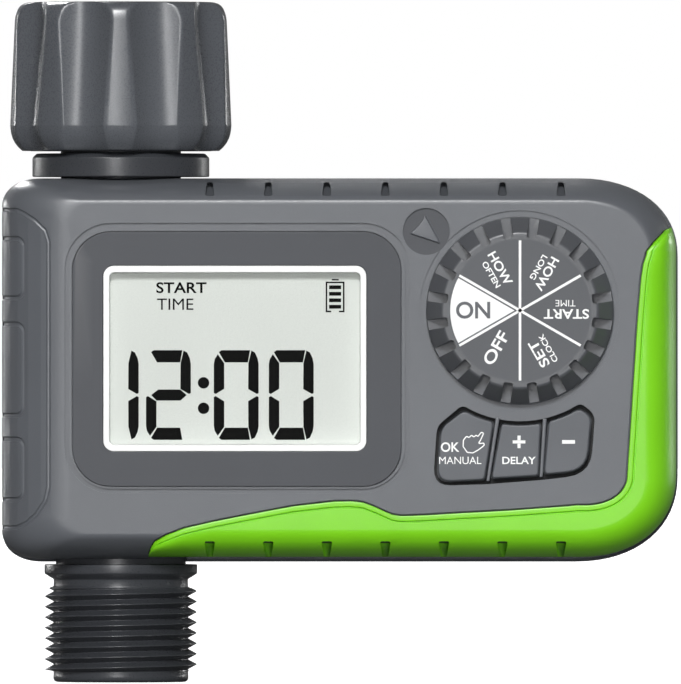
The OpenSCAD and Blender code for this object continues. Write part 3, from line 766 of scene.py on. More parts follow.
def trim_place(station, d, depth):
    """The point at a station, d in from the case's silhouette, at a depth."""
    side, at = station
    if side == BELOW:
        return (at, -depth, BOTTOM + d)
    if side == SIDE:
        return (RIGHT - d, -depth, at)
    t = math.radians(at)
    if side == CORNER:
        a, b = 17.2 - d, 14.4 - d
        return (RIGHT - 17.2 + a * math.cos(t) ** POWER, -depth,
                BOTTOM + 14.4 - b * abs(math.sin(t)) ** POWER)
    a, b = 16.5 - d, 13.5 - d
    return (RIGHT - 16.5 + a * math.cos(t) ** POWER, -depth,
            TOP - 13.5 + b * math.sin(t) ** POWER)


ROUND = 5.2                 # width of the trim's rounded edge, seen from the front
THICK = 2.3                 # thickness of the trim there


def trim_out(station):
    """How far the trim stands out of the case's side: a little sunk below, proud at the right."""
    side, at = station
    if side == BELOW:
        return -0.35
    if side == CORNER:
        return -0.35 + 0.7 * (at + 90) / 90
    return 0.35


def trim_lip(reach):
    return min(1.25, 0.3 * reach)


def trim_crest(reach):
    return looked_up([(0.8, 15.5), (2, 18.0), (4, 20.0), (5.5, 20.5), (12, 20.62)], reach)


def trim_curve(station, reach, k, sunk=0.0):
    """A point of the trim's rounded edge: k is 0 at the silhouette and 1 where it's flat."""
    width = min(ROUND, reach - trim_lip(reach))
    out = trim_out(station)
    a = math.radians(90) * k
    d = -out + (width + out) * (1 - math.cos(a))
    depth = EDGE + (trim_crest(reach) - EDGE) * math.sin(a)
    return d + sunk * math.cos(a), depth - sunk * math.sin(a)


def trim_section(station):
    """Outline of the trim across a station: out over the slope, over the lip and back under."""
    reach = looked_up(TRIM_REACH[station[0]], station[1])
    lip, out, crest = trim_lip(reach), trim_out(station), trim_crest(reach)
    scale = min(1, reach / 5)
    top = crest + 0.3 * scale
    d = reach - lip
    outer = [(-out, 1.2), (-out, 6)]
    outer += [trim_curve(station, reach, k / 14) for k in range(15)]
    outer += [(d, crest), (d + 0.06 * lip, crest - 0.14 * scale), (d + 0.16 * lip, crest - 0.14 * scale),
              (d + 0.28 * lip, top - 0.06), (d + 0.42 * lip, top), (d + 0.78 * lip, top),
              (d + 0.93 * lip, top - 0.08), (reach, top - 0.28)]
    inner = [(reach, top - 1.5), (d, crest - 1.4)]
    inner += [trim_curve(station, reach, k / 6, THICK) for k in range(6, -1, -1)]
    inner += [(-out + THICK, 1.2)]
    return [trim_place(station, *p) for p in outer + inner]


def seat_section(station):
    """The room that the trim takes in the shell, with a narrow shut line at its inner edge."""
    reach = looked_up(TRIM_REACH[station[0]], station[1])
    lip, out, crest = trim_lip(reach), trim_out(station), trim_crest(reach)
    top = crest + 0.3
    gap, loose = 0.3, 0.05
    ring = [(-3, 1.15), (-3, top + 3), (reach + gap, top + 3), (reach + gap, top - 1.5),
            (reach - lip, crest - 1.4 - loose)]
    ring += [trim_curve(station, reach, k / 6, THICK + loose) for k in range(6, -1, -1)]
    ring += [(-out + THICK + loose, 1.15)]
    return [trim_place(station, *p) for p in ring]


def trim_seat():
    return loft([seat_section(s) for s in trim_stations()])


def green_trim():
    trim = mesh_object("green_trim_detailed", *loft([trim_section(s) for s in trim_stations()]))
    cuts = [notch(x, -96.3, -93.4, 0.9, 1.9, 9.4, 13.6) for x in NOTCHES]
    cut(trim,
        joined(cuts),
        rod_z(BOTTOM - 2, BOTTOM + 0.8, 13.3))
    bevelled(trim, 0.1, 2, 42, 48)
    return placed(trim, "root", "trim_plastic", TRIM, "green_trim")


# ---- threads, nut and pipe ----

PITCH = 1.814
THREAD_STEPS = 144


def eased(t):
    t = max(0.0, min(1.0, t))
    return t * t * (3 - 2 * t)


def thread_height(z, turn, z_crest):
    """Height of a right-handed thread, from 0 at its root to 1 at its crest."""
    phase = ((z - z_crest) / PITCH - turn / (2 * math.pi)) % 1
    off = min(phase, 1 - phase)
    return max(0, min(1, (0.47 - off) / 0.43))


def turned(level, steps=THREAD_STEPS):
    """A ring round Z whose radius and height come from the angle."""
    ring = []
    for i in range(steps):
        a = 2 * math.pi * i / steps
        r, z = level(a)
        ring.append((r * math.cos(a), r * math.sin(a), z))
    return ring


def flat_ring(r, z, steps=THREAD_STEPS):
    return turned(lambda a: (r, z), steps)


NUT_STEPS = 288


def flute_half(z):
    """Half the angle that a flute takes up at a height: the ribs widen towards the foot."""
    down = max(0, min(1, (-z - 3) / 18.4))
    foot = max(0, (-z - 21.4) / 4.4)
    return math.pi / 9 - math.radians(4.6 + 3.9 * down - 2.3 * foot)


def nut_angles(z):
    """The angles of one ring's points: the edges of the flutes run along the mesh."""
    half, period, angles = flute_half(z), 2 * math.pi / 9, []
    for k in range(9):
        centre = (k + 0.5) * period - math.pi / 2
        angles += [centre + half * (j / 13 - 1) for j in range(26)]
        angles += [centre + half + (period - 2 * half) * j / 6 for j in range(6)]
    return angles[66:] + angles[:66]


def flute(turn, z):
    """Depth of the grip flutes at an angle and height: scoops that narrow towards the foot."""
    period = 2 * math.pi / 9
    off = (turn + math.pi / 2 + period / 2) % period - period / 2
    from_centre = period / 2 - abs(off)
    down = max(0, min(1, (-z - 3) / 18.4))
    u = from_centre / flute_half(z)
    if u >= 1:
        return 0.0
    return (2.5 - 0.95 * down) * (1 - u * u)


def nut_level(z):
    """One ring of the nut's outside: a tapered wall with flutes, a rounded top and a foot."""
    straight = 18.46 + 0.74 * (min(-z, 21.4) - 3.2) / 18.2
    foot = max(0, (-z - 21.4) / 4.4)
    crown = looked_up([(0, 15.9), (0.08, 16.35), (0.28, 16.95), (0.62, 17.45), (1.1, 17.85),
                       (1.7, 18.12), (2.4, 18.34), (3.2, 18.46), (3.4, 99)], -z)

    def level(a):
        return min(crown, straight - flute(a, z)) - 0.35 * foot - 1.75 * foot ** 3
    return [(level(a) * math.cos(a), level(a) * math.sin(a), z) for a in nut_angles(z)]


def coupling_nut():
    heights = [0, 0.08, 0.28, 0.62, 1.1, 1.7, 2.4]
    heights += [3.2 + 17.9 * i / 30 for i in range(31)]
    heights += [21.3, 21.4, 21.6, 22.1, 22.8, 23.6, 24.4, 25.1, 25.36, 25.6, 25.8]
    rings = [flat_ring(14.4, 0, NUT_STEPS)]
    rings += [nut_level(-h) for h in heights]
    for r, z in [(11.2, -25.8), (10.7, -25.6), (10.5, -25.3), (10.5, -23.5), (13.4, -23.3),
                 (13.4, -14)]:
        rings.append(flat_ring(r, z, NUT_STEPS))
    rows = 96
    for i in range(rows + 1):
        z = -13.4 + 12.7 * i / rows

        def level(a, z=z):
            fade = eased((z + 13.4) / 0.6) * eased((-0.7 - z) / 0.8)
            return (13.25 - 1.15 * fade * thread_height(z, a, -0.9), z)
        rings.append(turned(level, NUT_STEPS))
    rings += [flat_ring(13.5, -0.35, NUT_STEPS), flat_ring(13.75, -0.1, NUT_STEPS),
              flat_ring(14.0, 0, NUT_STEPS)]
    return piece("coupling_nut_detailed", loft(rings, close=True), 60,
                 "nut", "nut_plastic", NUT, "coupling_nut")


def inlet_tailpiece():
    profile = [(8, -38), (10.4, -38), (10.4, -30.3), (15.35, -30.3), (15.35, -27), (14.6, -26.25),
               (10.42, -26.25), (10.42, -23.2), (13, -23.2), (13, -20), (8, -20)]
    piece = mesh_object("inlet_tailpiece_detailed", *lathe(profile, 160))
    bevelled(piece, 0.2, 3, 30)
    return placed(piece, "root", "pipe_plastic", PIPE, "inlet_tailpiece")


def outlet_skin():
    """The outlet below the case: a flange, a neck and the male thread for the hose."""
    rings = [flat_ring(r, z) for r, z in [
        (8.4, -99), (8.4, -96), (11.27, -96), (11.27, -97.45), (13.15, -97.5), (13.25, -97.6),
        (13.25, -98.9), (13.15, -99.15), (12.2, -99.75), (11.75, -100.0), (11.65, -100.2),
        (11.65, -100.9)]]
    rows = 250
    for i in range(rows + 1):
        z = -100.9 - 15.7 * i / rows

        def level(a, z=z):
            fade = eased((-z - 101.25) / 0.5) * eased((z + 116.1) / 0.35)
            return (11.68 + 1.47 * fade * thread_height(z, a, -102.15), z)
        rings.append(turned(level))
    rings += [flat_ring(r, z) for r, z in [
        (11.7, -116.9), (11.7, -117.3), (11.55, -117.65), (11.25, -117.85), (10.9, -117.9),
        (8.8, -117.9), (8.5, -117.75), (8.4, -117.5), (8.4, -100.2)]]
    return loft(rings, close=True)


VALVE = (3, -64)            # the valve's own axis, along X


def rod_x(x0, x1, r, y=VALVE[0], z=VALVE[1], steps=72):
    points, faces = aimed_lathe([(0, x0), (r, x0), (r, x1), (0, x1)], steps, "x")
    return [(px, py + y, pz + z) for px, py, pz in points], faces


def valve_body():
    body = mesh_object("valve_body_detailed", *rod_x(-10, 9, 14.8))
    combine(body, rod_z(-52, -34.6, 11.7), "UNION")
    combine(body, rod_z(-96.5, -74, 10.6), "UNION")
    cut(body,
        rod_z(-39, -30, 10.45),
        rod_z(-53, -38.5, 8),
        rod_x(-7.5, 10, 11))
    combine(body, rod_z(-77, -57, 6.3), "UNION")
    combine(body, rod_x(-9, 6.4, 8), "UNION")
    cut(body,
        rod_z(-99, -64, 4.8),
        rod_z(-99, -82, 8.4),
        rod_x(0, 8, 4.5))
    bolts = [(3 + 13 * math.cos(math.radians(a)), -64 + 13 * math.sin(math.radians(a)))
             for a in (45, 135, 225, 315)]
    cut(body,
        joined([rod_x(2, 10, 1.05, y, z, 24) for y, z in bolts]),
        rod_x(9, 18, 14.85))
    smooth(body, 30)
    placed(body, "root", "pipe_plastic", PIPE, "valve_body")
    piece("outlet_thread", outlet_skin(), 50, "root", "pipe_plastic", PIPE)
    return body


# ---- dial, keys and display ----

INK = 0.03                  # how far printed marks stand over their surface


def dial_knob():
    x, z = DIAL_AT
    profile = [(0, 20.2), (4.6, 20.2), (4.6, 20.8), (15.95, 20.8), (16.15, 20.88), (16.2, 21.1),
               (16.2, 21.5), (16.12, 21.8), (15.9, 22.2), (13.75, 25.65), (13.5, 25.95),
               (13.15, 26.1), (12.5, 26.1), (12.35, 26.0), (0, 26.0)]
    points, faces = aimed_lathe(profile, 240, "-y", (x, 0, z))
    knob = mesh_object("dial_knob_detailed", points, faces)
    slots = []
    for i in range(20):
        a = math.radians(9 + 18 * i)
        half, inner, outer = 0.86, 12.6, 17.5
        shape = rounded([(outer, -half), (outer, half), (inner, half), (inner, -half)], 0.45)
        turned_shape = [(x + p * math.cos(a) - q * math.sin(a), z + p * math.sin(a) + q * math.cos(a))
                        for p, q in shape]
        slots.append(prism(turned_shape, -28, -21.9))
    combine(knob, joined(slots))
    bevelled(knob, 0.16, 3, 40)
    return placed(knob, "dial", "dial_plastic", DIAL, "dial_knob")


def flat_mark(name, outlines, depth, body, slot, finish, thick=0.12):
    """Printed or inlaid marks: outlines of (x, z) that end just over a surface at this depth."""
    parts = [prism(o, -(depth + INK), -(depth - thick)) for o in outlines]
    return piece(name, joined(parts), 30, body, slot, finish)


def lettering(name, words, depth, body, slot, finish):
    """Generic words in a plain face. Each is (text, x, z, width, cap height, turn)."""
    whole = bmesh.new()
    for text, x, z, width, cap, turn in words:
        curve = bpy.data.curves.new(name, "FONT")
        curve.body = text
        curve.offset = 0.0 if "M" in text else 0.02
        curve.resolution_u = 5
        curve.extrude = 1.0
        drawn = bpy.data.objects.new(name, curve)
        bpy.context.scene.collection.objects.link(drawn)
        bpy.context.view_layer.update()
        graph = bpy.context.evaluated_depsgraph_get()
        mesh = bpy.data.meshes.new_from_object(drawn.evaluated_get(graph))
        lo = [min(v.co[i] for v in mesh.vertices) for i in (0, 1)]
        hi = [max(v.co[i] for v in mesh.vertices) for i in (0, 1)]
        a = math.radians(turn)
        for v in mesh.vertices:
            px = (v.co.x - (lo[0] + hi[0]) / 2) / (hi[0] - lo[0]) * width
            pz = (v.co.y - (lo[1] + hi[1]) / 2) / (hi[1] - lo[1]) * cap
            y = -(depth + INK) if v.co.z > 0 else -(depth - 0.08)
            v.co = Vector((x + px * math.cos(a) - pz * math.sin(a), y,
                           z + px * math.sin(a) + pz * math.cos(a))) * MM
        whole.from_mesh(mesh)
        bpy.data.objects.remove(drawn)
    bmesh.ops.remove_doubles(whole, verts=whole.verts, dist=1e-7)
    bmesh.ops.recalc_face_normals(whole, faces=whole.faces)
    mesh = bpy.data.meshes.new(name)
    whole.to_mesh(mesh)
    whole.free()
    obj = bpy.data.objects.new(name, mesh)
    bpy.context.scene.collection.objects.link(obj)
    smooth(obj, 30)
    return placed(obj, body, slot, finish)


def about_dial(dx, dz):
    return DIAL_AT[0] + dx, DIAL_AT[1] + dz


def dial_marks():
    """The printed face: six spokes, the chosen setting's sector and the settings' names."""
    flat_mark("dial_face", [disc(*DIAL_AT, 12.3, 160)], 26.0 - INK + 0.008, "dial", "dial_plastic",
              DIAL_FACE)
    spokes = []
    for a in range(30, 390, 60):
        ux, uz = math.cos(math.radians(a)), math.sin(math.radians(a))
        ends = [(-0.1, -0.22), (-0.1, 0.22), (12.1, 0.22), (12.1, -0.22)]
        spokes.append([about_dial(t * ux - w * uz, t * uz + w * ux) for t, w in ends])
    flat_mark("dial_spokes", spokes, 26.0, "dial", "white_print", WHITE)
    sector = [about_dial(-0.95, 0)]
    for i in range(21):
        a = math.radians(152.2 + 55.6 * i / 20)
        sector.append(about_dial(12.05 * math.cos(a), 12.05 * math.sin(a)))
    flat_mark("dial_sector", [sector], 26.0, "dial", "white_print", WHITE)
    words = [("HOW", -3.42, 7.26, 6.2, 1.62, -60), ("OFTEN", -4.96, 6.21, 4.95, 1.05, -60),
             ("HOW", 4.58, 6.31, 6.2, 1.62, -120), ("LONG", 3.2, 7.45, 4.6, 1.05, -120),
             ("START", 8.0, -0.6, 7.8, 1.7, 180), ("TIME", 7.85, 1.26, 3.46, 1.1, 180),
             ("SET", 3.27, -7.46, 4.9, 1.75, 120), ("CLOCK", 4.87, -6.5, 5.36, 1.0, 120),
             ("OFF", -4.16, -6.49, 6.1, 2.15, 60)]
    settings = [(t, *about_dial(dx, dz), w, cap, turn) for t, dx, dz, w, cap, turn in words]
    lettering("dial_settings", settings, 26.0, "dial", "white_print", WHITE)
    chosen = [("ON", *about_dial(-8.1, 0.06), 5.9, 2.95, 0)]
    lettering("dial_setting_on", chosen, 26.0 + INK, "dial", "dial_plastic", DARK_GREY)


KEY_TOP = 21.55             # depth of the keys' faces


def key_piece(name):
    """One key: a crowned face over its skirt, and a wide foot behind the wall."""
    outline = key_outline(name, -0.08)
    key = mesh_object("key_" + name + "_moulded", *prism(outline, -KEY_TOP, -18.0))
    bevelled(key, 0.32, 4, 50)
    combine(key, prism(key_outline(name, 0.1), -18.1, -17.3), "UNION")
    smooth(key, 35)
    return placed(key, name + "_button", "key_rubber", KEYS, "key_" + name)


def offset(outline, grow):
    """An outline of (x, z) points moved outwards by grow, point by point."""
    out = []
    n = len(outline)
    area = sum(outline[i - 1][0] * outline[i][1] - outline[i][0] * outline[i - 1][1]
               for i in range(n))
    sign = 1 if area > 0 else -1
    for i in range(n):
        before = Vector(outline[i]) - Vector(outline[i - 1])
        after = Vector(outline[(i + 1) % n]) - Vector(outline[i])
        along = before.normalized() + after.normalized()
        away = Vector((along.y, -along.x)).normalized() * sign
        stretch = 1 / max(0.5, away.dot(Vector((after.y, -after.x)).normalized() * sign))
        out.append(tuple(Vector(outline[i]) + away * grow * stretch))
    return out


def key_marks():
    """Plain function words and signs on the keys."""
    depth = KEY_TOP
    lettering("key_ok_words", [("OK", 57.05, -77.1, 3.2, 1.67, 0),
                               ("MANUAL", 58.8, -79.4, 7.3, 1.28, 0)],
              depth, "ok_button", "white_print", WHITE)
    hand = [(60.0, -78.0), (59.3, -77.0), (59.35, -75.9), (59.9, -75.2), (60.3, -75.5),
            (60.75, -75.0), (61.15, -75.4), (61.55, -75.0), (61.85, -75.3), (62.45, -74.5),
            (62.85, -74.7), (62.3, -75.9), (61.9, -76.5), (62.9, -76.4), (62.95, -76.8),
            (61.9, -77.6), (61.0, -78.1)]
    outline_mark("key_ok_hand", rounded(hand, 0.3, 3), 0.2, depth, "ok_button")
    plus = [[(67.87, -76.47), (70.05, -76.47), (70.05, -75.93), (67.87, -75.93)],
            [(68.69, -77.29), (69.23, -77.29), (69.23, -76.5), (68.69, -76.5)],
            [(68.69, -75.9), (69.23, -75.9), (69.23, -75.11), (68.69, -75.11)]]
    flat_mark("key_plus_sign", plus, depth, "plus_button", "white_print", WHITE)
    lettering("key_plus_words", [("DELAY", 68.96, -79.4, 5.8, 1.28, 0)], depth, "plus_button",
              "white_print", WHITE)
    minus = [[(76.4, -76.52), (78.64, -76.52), (78.64, -75.88), (76.4, -75.88)]]
    flat_mark("key_minus_sign", minus, depth, "minus_button", "white_print", WHITE)


def outline_mark(name, outline, width, depth, body):
    """A printed line of even width along a closed outline."""
    outer, inner = offset(outline, width / 2), offset(outline, -width / 2)
    rings = [at_depth(outer, -depth + 0.08), at_depth(outer, -depth - INK),
             at_depth(inner, -depth - INK), at_depth(inner, -depth + 0.08)]
    return piece(name, loft(rings, close=True), 30, body, "white_print", WHITE)


def key_webs():
    """The case's two narrow bars between the keys, and a rubber surround under the gaps round the keys,
    coloured near-black to paint the shade in those gaps.
    """
    bars = []
    for upper, lower in [((65.28, -72.0), (63.58, -83.0)), ((73.42, -72.2), (72.78, -82.3))]:
        bars.append([(upper[0] - 0.36, upper[1]), (upper[0] + 0.36, upper[1]),
                     (lower[0] + 0.3, lower[1]), (lower[0] - 0.3, lower[1])])
    webs = mesh_object("key_webs", *joined([prism(b, -20.75, -19.3) for b in bars]))
    bevelled(webs, 0.16, 3, 40)
    placed(webs, "root", "case_plastic", CASE)
    seal = mesh_object("key_surround", *prism(keypad_outline(0.58), -19.3, -18.6))
    for name in ("ok", "plus", "minus"):
        combine(seal, prism(key_outline(name, 0.12), -21, -18))
    smooth(seal, 35)
    return placed(seal, "root", "rubber_black", GAP_SHADE_RUBBER)


def badge():
    """The round recess by the dial with its raised arrow, which has one hollow side."""
    piece("arrow_badge", prism(disc(52.94, -39.84, 4.03, 64), -20.03, -19.9), 30,
          "root", "bezel_print", BEZEL)
    tip, left, right = Vector((52.72, -36.99)), Vector((50.12, -40.19)), Vector((55.36, -41.92))
    middle = (tip + left) / 2
    hollow = middle + (right - middle).normalized() * 0.55
    sides = []
    for k in range(9):
        t = k / 8
        sides.append(tuple((1 - t) ** 2 * tip + 2 * t * (1 - t) * hollow + t * t * left))
    arrow = mesh_object("arrow_mark", *prism(sides + [tuple(right)], -20.6, -20.0))
    bevelled(arrow, 0.22, 2, 30)
    return placed(arrow, "root", "case_plastic", CASE)


# ---- display ----

DIGIT_W, DIGIT_H = 7.75, 15.5
DIGIT_TOP = -60.36
STROKE, BAR = 1.8, 2.1      # widths of a digit's upright and level segments
TIP = 0.36                  # from a digit's middle to the end of an upright segment
DIGITS = [("bc", -4.54), ("abged", 4.48), ("abcdef", 16.2), ("abcdef", 25.72)]
LCD_FACE = 17.7


def segment(key):
    """A segment as (right, down) from its digit's top left; c, d and e mirror b, a and f."""
    w, mid = DIGIT_W, DIGIT_H / 2
    inner = w - STROKE
    if key == "g":
        return [(0.9, mid), (STROKE + 0.3, mid - 0.95), (inner, mid - 0.95), (w - 0.72, mid),
                (inner, mid + 0.95), (STROKE, mid + 0.95)]
    if key in "ad":
        shape = [(0.87, 0.32), (1.35, 0), (w - 1.47, 0), (inner - 0.05, BAR), (STROKE + 0.1, BAR)]
    elif key in "bc":
        shape = [(w - 1.25, 0.06), (w - 0.64, 0.4), (w - 0.18, 1.39), (w, 2.35), (w, mid - TIP),
                 (w - 0.3, mid - TIP / 2), (inner, mid - 1.04), (inner + 0.03, 2.24)]
    else:
        shape = [(0, 2.38), (0.16, 1.55), (0.68, 0.69), (STROKE, 2.24), (STROKE, mid - 1.08),
                 (0.34, mid - TIP / 2), (0, mid - TIP)]
    return [(u, DIGIT_H - v) for u, v in shape] if key in "cde" else shape


def lcd_marks():
    """The dark segments of the display: the time, a setting's name and a full battery."""
    shapes = []
    for lit, x0 in DIGITS:
        for key in lit:
            shapes.append([(x0 + u, DIGIT_TOP - v) for u, v in segment(key)])
    for z in (-66.0, -70.4):
        shapes.append(disc(14.43, z, 0.99, 32))
    flat_mark("display_digits", shapes, LCD_FACE, "root", "display_glass", DARK_INK)
    icon = [[(36.6, -48.3), (37.8, -48.3), (37.8, -48.05), (36.6, -48.05)]]
    x0, x1, z0, z1, w = 35.55, 38.8, -53.8, -48.5, 0.27
    icon += [[(x0, z1 - w), (x1, z1 - w), (x1, z1), (x0, z1)],
             [(x0, z0), (x0 + w, z0), (x0 + w, z1 - w), (x0, z1 - w)],
             [(x1 - w, z0), (x1, z0), (x1, z1 - w), (x1 - w, z1 - w)],
             [(x0 + w, z0), (x0 + 0.95, z0), (x0 + 0.95, z0 + w), (x0 + w, z0 + w)],
             [(x1 - 0.95, z0), (x1 - w, z0), (x1 - w, z0 + w), (x1 - 0.95, z0 + w)]]
    for z in (-49.15, -50.28, -51.4, -52.52):
        icon.append([(36.14, z - 0.65), (38.22, z - 0.65), (38.22, z), (36.14, z)])
    flat_mark("display_battery", icon, LCD_FACE, "root", "display_glass", DARK_INK)
    lettering("display_words", [("START", 10.6, -49.55, 8.7, 1.9, 0),
                                ("TIME", 9.52, -52.4, 6.3, 1.95, 0)],
              LCD_FACE, "root", "display_glass", DARK_INK)


def display():
    cx, cz = WINDOW
    plate = mesh_object("display_plate", *prism(round_box(*PANEL, 56.8, 44.0, 6.65, 12),
                                                -20.3, -19.5))
    combine(plate, prism(round_box(cx, cz, 45.6, 32.2, 1.9), -22, -19))
    bevelled(plate, 0.12, 2, 40)
    placed(plate, "root", "bezel_print", BEZEL, "display_bezel")
    rings = []
    for w, h, r, depth in [(45.5, 32.1, 1.85, 19.5), (45.5, 32.1, 1.85, 20.36),
                           (45.36, 31.96, 1.8, 20.46), (43.56, 29.96, 0.9, 20.46),
                           (43.4, 29.8, 0.85, 20.36), (43.2, 29.6, 0.8, 17.8),
                           (44.4, 31.0, 0.8, 17.8), (44.4, 31.0, 0.8, 19.5)]:
        rings.append(at_depth(round_box(cx, cz, w, h, r), -depth))
    piece("window_surround", loft(rings, close=True), 35, "root", "white_print", WHITE, "window_frame")
    panel = mesh_object("lcd_cell", *prism(round_box(20, cz, 46, 34, 0.3, 3), -LCD_FACE, -15.1))
    bevelled(panel, 0.08, 2)
    placed(panel, "root", "display_glass", LCD, "lcd_panel")
    piece("window_lens", prism(round_box(cx, cz, 43.3, 29.7, 0.8), -20.42, -19.6), 30,
          "root", "display_glass", GLASS, "display_lens")


# ---- back ----


def battery_door():
    outline = round_box(62.1, -62.2, 57.8, 42, 4, 10)
    door = mesh_object("battery_door_detailed", *prism(outline, 21.2, 23.4))
    combine(door, prism(round_box(*BAY, 52.5, 28, 2.5), 19, 21.7), "UNION")
    combine(door, prism(round_box(*BAY, 49.5, 25, 1.5), 18, 20.8))
    knuckle = pipe_z(HINGE, -72.8, -57.2, 2.0)
    combine(door, knuckle, "UNION")
    arm = loft([[(HINGE[0], 21.7, z), (34.2, 21.7, z), (34.2, 23.4, z), (HINGE[0], 23.4, z)]
                for z in (-72.8, -57.2)])
    combine(door, arm, "UNION")
    cut(door,
        prism(disc(*LOCK, 3.25, 64), 20, 24),
        pipe_z(HINGE, -80, -50, 0.95))
    groove = ring_prism(round_box(62.1, -63.2, 46, 28, 3, 8), 0.8, 23.0, 24.0)
    combine(door, groove)
    ribs = [prism(round_box(62.1, z, 34, 1.2, 0.58, 4), 23.2, 23.4 + 0.4) for z in range(-74, -52, 3)]
    combine(door, joined(ribs), "UNION")
    bevelled(door, 0.25, 2, 38)
    return placed(door, "door", "back_plastic", BACK, "battery_door")


def door_lock():
    lock = mesh_object("door_lock_detailed", *prism(disc(*LOCK, 3.2, 64), 21.4, 24.0))
    combine(lock, prism(disc(*LOCK, 2.0, 40), 17, 21.6), "UNION")
    x, z = LOCK
    cam = round_box(x + 1.7, z, 5.4, 2.2, 0.9, 5)
    combine(lock, prism(cam, 17, 18.5), "UNION")
    combine(lock, prism(round_box(x, z, 4.8, 1.0, 0.45, 5), 22.9, 25))
    bevelled(lock, 0.14, 3, 40)
    return placed(lock, "lock", "steel", GREY_METAL, "door_lock")


def case_screws():
    """Pan heads with a cross recess, sunk in the back."""
    parts = []
    for x, z in SCREWS:
        profile = [(0, -9), (1.45, -9), (1.45, 14.8), (2.4, 14.8), (2.4, 15.9), (2.2, 16.4),
                   (1.6, 16.7), (0, 16.8)]
        points, faces = aimed_lathe(profile, 48, "+y", (x, 0, z))
        parts.append((points, faces))
    screws = mesh_object("case_screws_detailed", *joined(parts))
    crosses = []
    for x, z in SCREWS:
        crosses.append(prism([(x - 1.4, z - 0.28), (x + 1.4, z - 0.28), (x + 1.4, z + 0.28),
                              (x - 1.4, z + 0.28)], 15.7, 18))
        crosses.append(prism([(x - 0.28, z - 1.4), (x + 0.28, z - 1.4), (x + 0.28, z + 1.4),
                              (x - 0.28, z + 1.4)], 15.7, 18))
    cut(screws, joined(crosses[0::2]), joined(crosses[1::2]))
    smooth(screws, 35)
    return placed(screws, "root", "steel", STEEL, "case_screws")


def batteries():
    """Two AA cells: a sleeve with rolled ends, a shoulder and a positive nib."""
    parts, caps = [], []
    for side in (-1, 1):
        z = -64.5 + 7.6 * side
        sleeve = [(0, 36.5), (6.2, 36.5), (6.8, 36.6), (7.05, 36.9), (7.1, 37.3), (7.1, 86.5),
                  (7.0, 87.0), (6.6, 87.3), (6.0, 87.4), (0, 87.4)]
        cap = [(0, 87.3), (5.6, 87.3), (5.6, 87.55), (2.9, 87.75), (2.7, 88.0), (2.7, 89.0),
               (2.45, 89.25), (0, 89.3)]
        for profile, out in ((sleeve, parts), (cap, caps)):
            points, faces = aimed_lathe(profile, 72, "x")
            out.append(([(px, py + 11.3, pz + z) for px, py, pz in points], faces))
    piece("cells_sleeves", joined(parts), 40, "root", "cell_wrap", WRAP, "batteries")
    return piece("cells_caps", joined(caps), 40, "root", "steel", STEEL)


# ---- the CAD parts that stay as they are ----

FINISHES = {
    "case_gasket": DARK_RUBBER, "lcd_holder": PALE, "zebra_strips": PINK, "main_board": BOARD,
    "board_parts": CHIP, "rotary_switch": CHIP, "dial_shaft": STEEL, "dial_seal": DARK_RUBBER,
    "keypad_seal": DARK_RUBBER, "plunger_ok": RED, "plunger_plus": RED, "plunger_minus": RED,
    "tact_switches": CHIP, "inlet_washer": DARK_RUBBER, "filter_screen": STEEL,
    "tailpiece_seal": DARK_RUBBER, "tailpiece_clip": STEEL, "outlet_seal": DARK_RUBBER,
    "diaphragm": DARK_RUBBER, "diaphragm_insert": PALE, "diaphragm_spring": STEEL,
    "valve_bonnet": PIPE, "bonnet_screws": STEEL, "solenoid_coil": TAPE, "solenoid_yoke": STEEL,
    "core_tube": STEEL, "solenoid_plunger": GREY_METAL, "plunger_spring": STEEL,
    "solenoid_leads": LEAD, "battery_box": BACK, "battery_contacts": BRASS,
    "battery_leads": LEAD, "door_gasket": DARK_RUBBER, "hinge_pin": STEEL,
}


def finish_frame():
    for name, material in FINISHES.items():
        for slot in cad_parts[name].material_slots:
            slot.material = material


# ---- studio ----


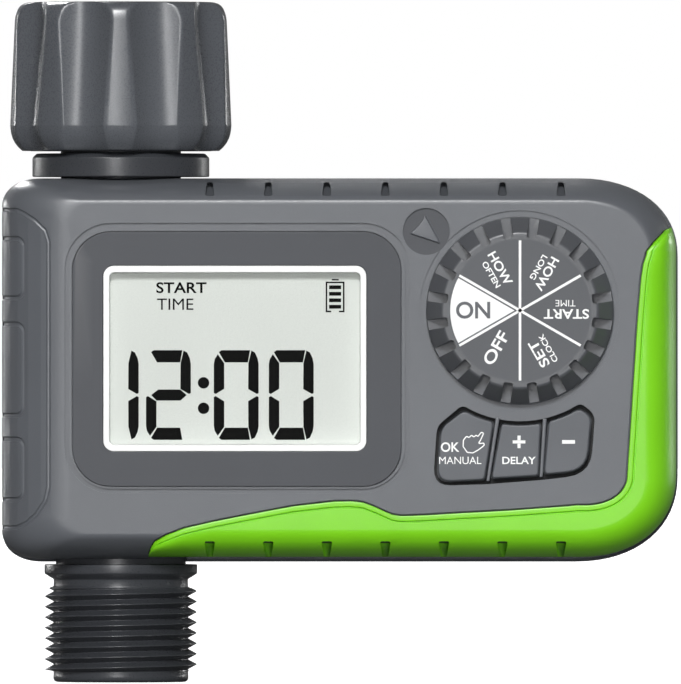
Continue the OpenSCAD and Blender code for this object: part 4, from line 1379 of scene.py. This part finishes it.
def floor_and_light():
    floor = mesh_object("floor", [(-9000, -9000, -118.4), (9000, -9000, -118.4),
                                  (9000, 9000, -118.4), (-9000, 9000, -118.4)], [(0, 1, 2, 3)])
    pale = Nodes("studio floor")
    seen = pale.add("ShaderNodeLightPath")
    tone = pale.mixed(pale.noise(60, 3), "Fac", (0.83, 0.83, 0.83), (0.87, 0.87, 0.87))
    soft = pale.mixed(seen, "Is Camera Ray", (0.12, 0.12, 0.12), tone)
    pale.tree.links.new(soft.outputs[2], pale.shader.inputs["Base Color"])
    glow = pale.ranged(seen, "Is Camera Ray", 0, 0.74, 0, 1)
    pale.tree.links.new(glow.outputs["Result"], pale.shader.inputs["Emission Strength"])
    pale.set(Roughness=0.8, Emission_Color=(1, 1, 1, 1), Specular_IOR_Level=0.0)
    floor.data.materials.append(pale.material)
    floor.visible_shadow = False
    world = bpy.data.worlds.new("studio")
    world.use_nodes = True
    tree = world.node_tree
    sky = tree.nodes["Background"]
    sky.inputs["Color"].default_value = (1, 1, 1, 1)
    path = tree.nodes.new("ShaderNodeLightPath")
    share = tree.nodes.new("ShaderNodeMapRange")
    share.inputs["To Min"].default_value = 0.14
    share.inputs["To Max"].default_value = 1.0
    tree.links.new(path.outputs["Is Camera Ray"], share.inputs["Value"])
    tree.links.new(share.outputs["Result"], sky.inputs["Strength"])
    bpy.context.scene.world = world
    suns = [("front", -2, 24, 2.3, 12, "matt"), ("fill", 4, -3, 0.95, 12, "matt"),
            ("strip_low", -7, 6, 0.6, 13, "sheen"), ("strip_mid", -8, 24, 1.0, 16, "sheen"),
            ("strip_high", -6, 40, 2.6, 12, "sheen"), ("left", -138, 6, 0.5, 8, "both"),
            ("right", 138, 6, 0.32, 8, "both"), ("back", 212, 24, 2.6, 16, "matt"),
            ("back_sheen", 196, 34, 1.6, 12, "sheen")]
    for name, azimuth, elevation, strength, spread, use in suns:
        data = bpy.data.lights.new(name, "SUN")
        data.energy = strength
        data.angle = math.radians(spread)
        lamp = bpy.data.objects.new(name, data)
        a, e = math.radians(azimuth), math.radians(elevation)
        source = Vector((math.sin(a) * math.cos(e), -math.cos(a) * math.cos(e), math.sin(e)))
        lamp.location = source
        lamp.rotation_mode = "QUATERNION"
        lamp.rotation_quaternion = (-source).to_track_quat("-Z", "Y")
        lamp.visible_diffuse = use != "sheen"
        lamp.visible_glossy = use != "matt"
        bpy.context.scene.collection.objects.link(lamp)


def camera():
    """Straight on to the face, from far away, so that edges at any depth keep their size."""
    data = bpy.data.cameras.new("camera")
    data.sensor_width = 36
    data.lens = 1600
    frame_height = 118.34 * MM
    cam = bpy.data.objects.new("camera", data)
    reach = frame_height * data.lens / data.sensor_width
    cam.location = (38.11 * MM, -15 * MM - reach, -58.94 * MM)
    cam.rotation_euler = (math.pi / 2, 0, 0)
    data.clip_start, data.clip_end = 0.5, 60
    bpy.context.scene.collection.objects.link(cam)
    bpy.context.scene.camera = cam


camera()
floor_and_light()
finish_frame()
front_shell()
key_webs()
badge()
green_trim()
display()
lcd_marks()
dial_knob()
dial_marks()
for key_name in ("ok", "plus", "minus"):
    key_piece(key_name)
key_marks()
coupling_nut()
inlet_tailpiece()
valve_body()
rear_shell()
battery_door()
door_lock()
case_screws()
batteries()
bpy.context.scene.view_settings.view_transform = "Standard"
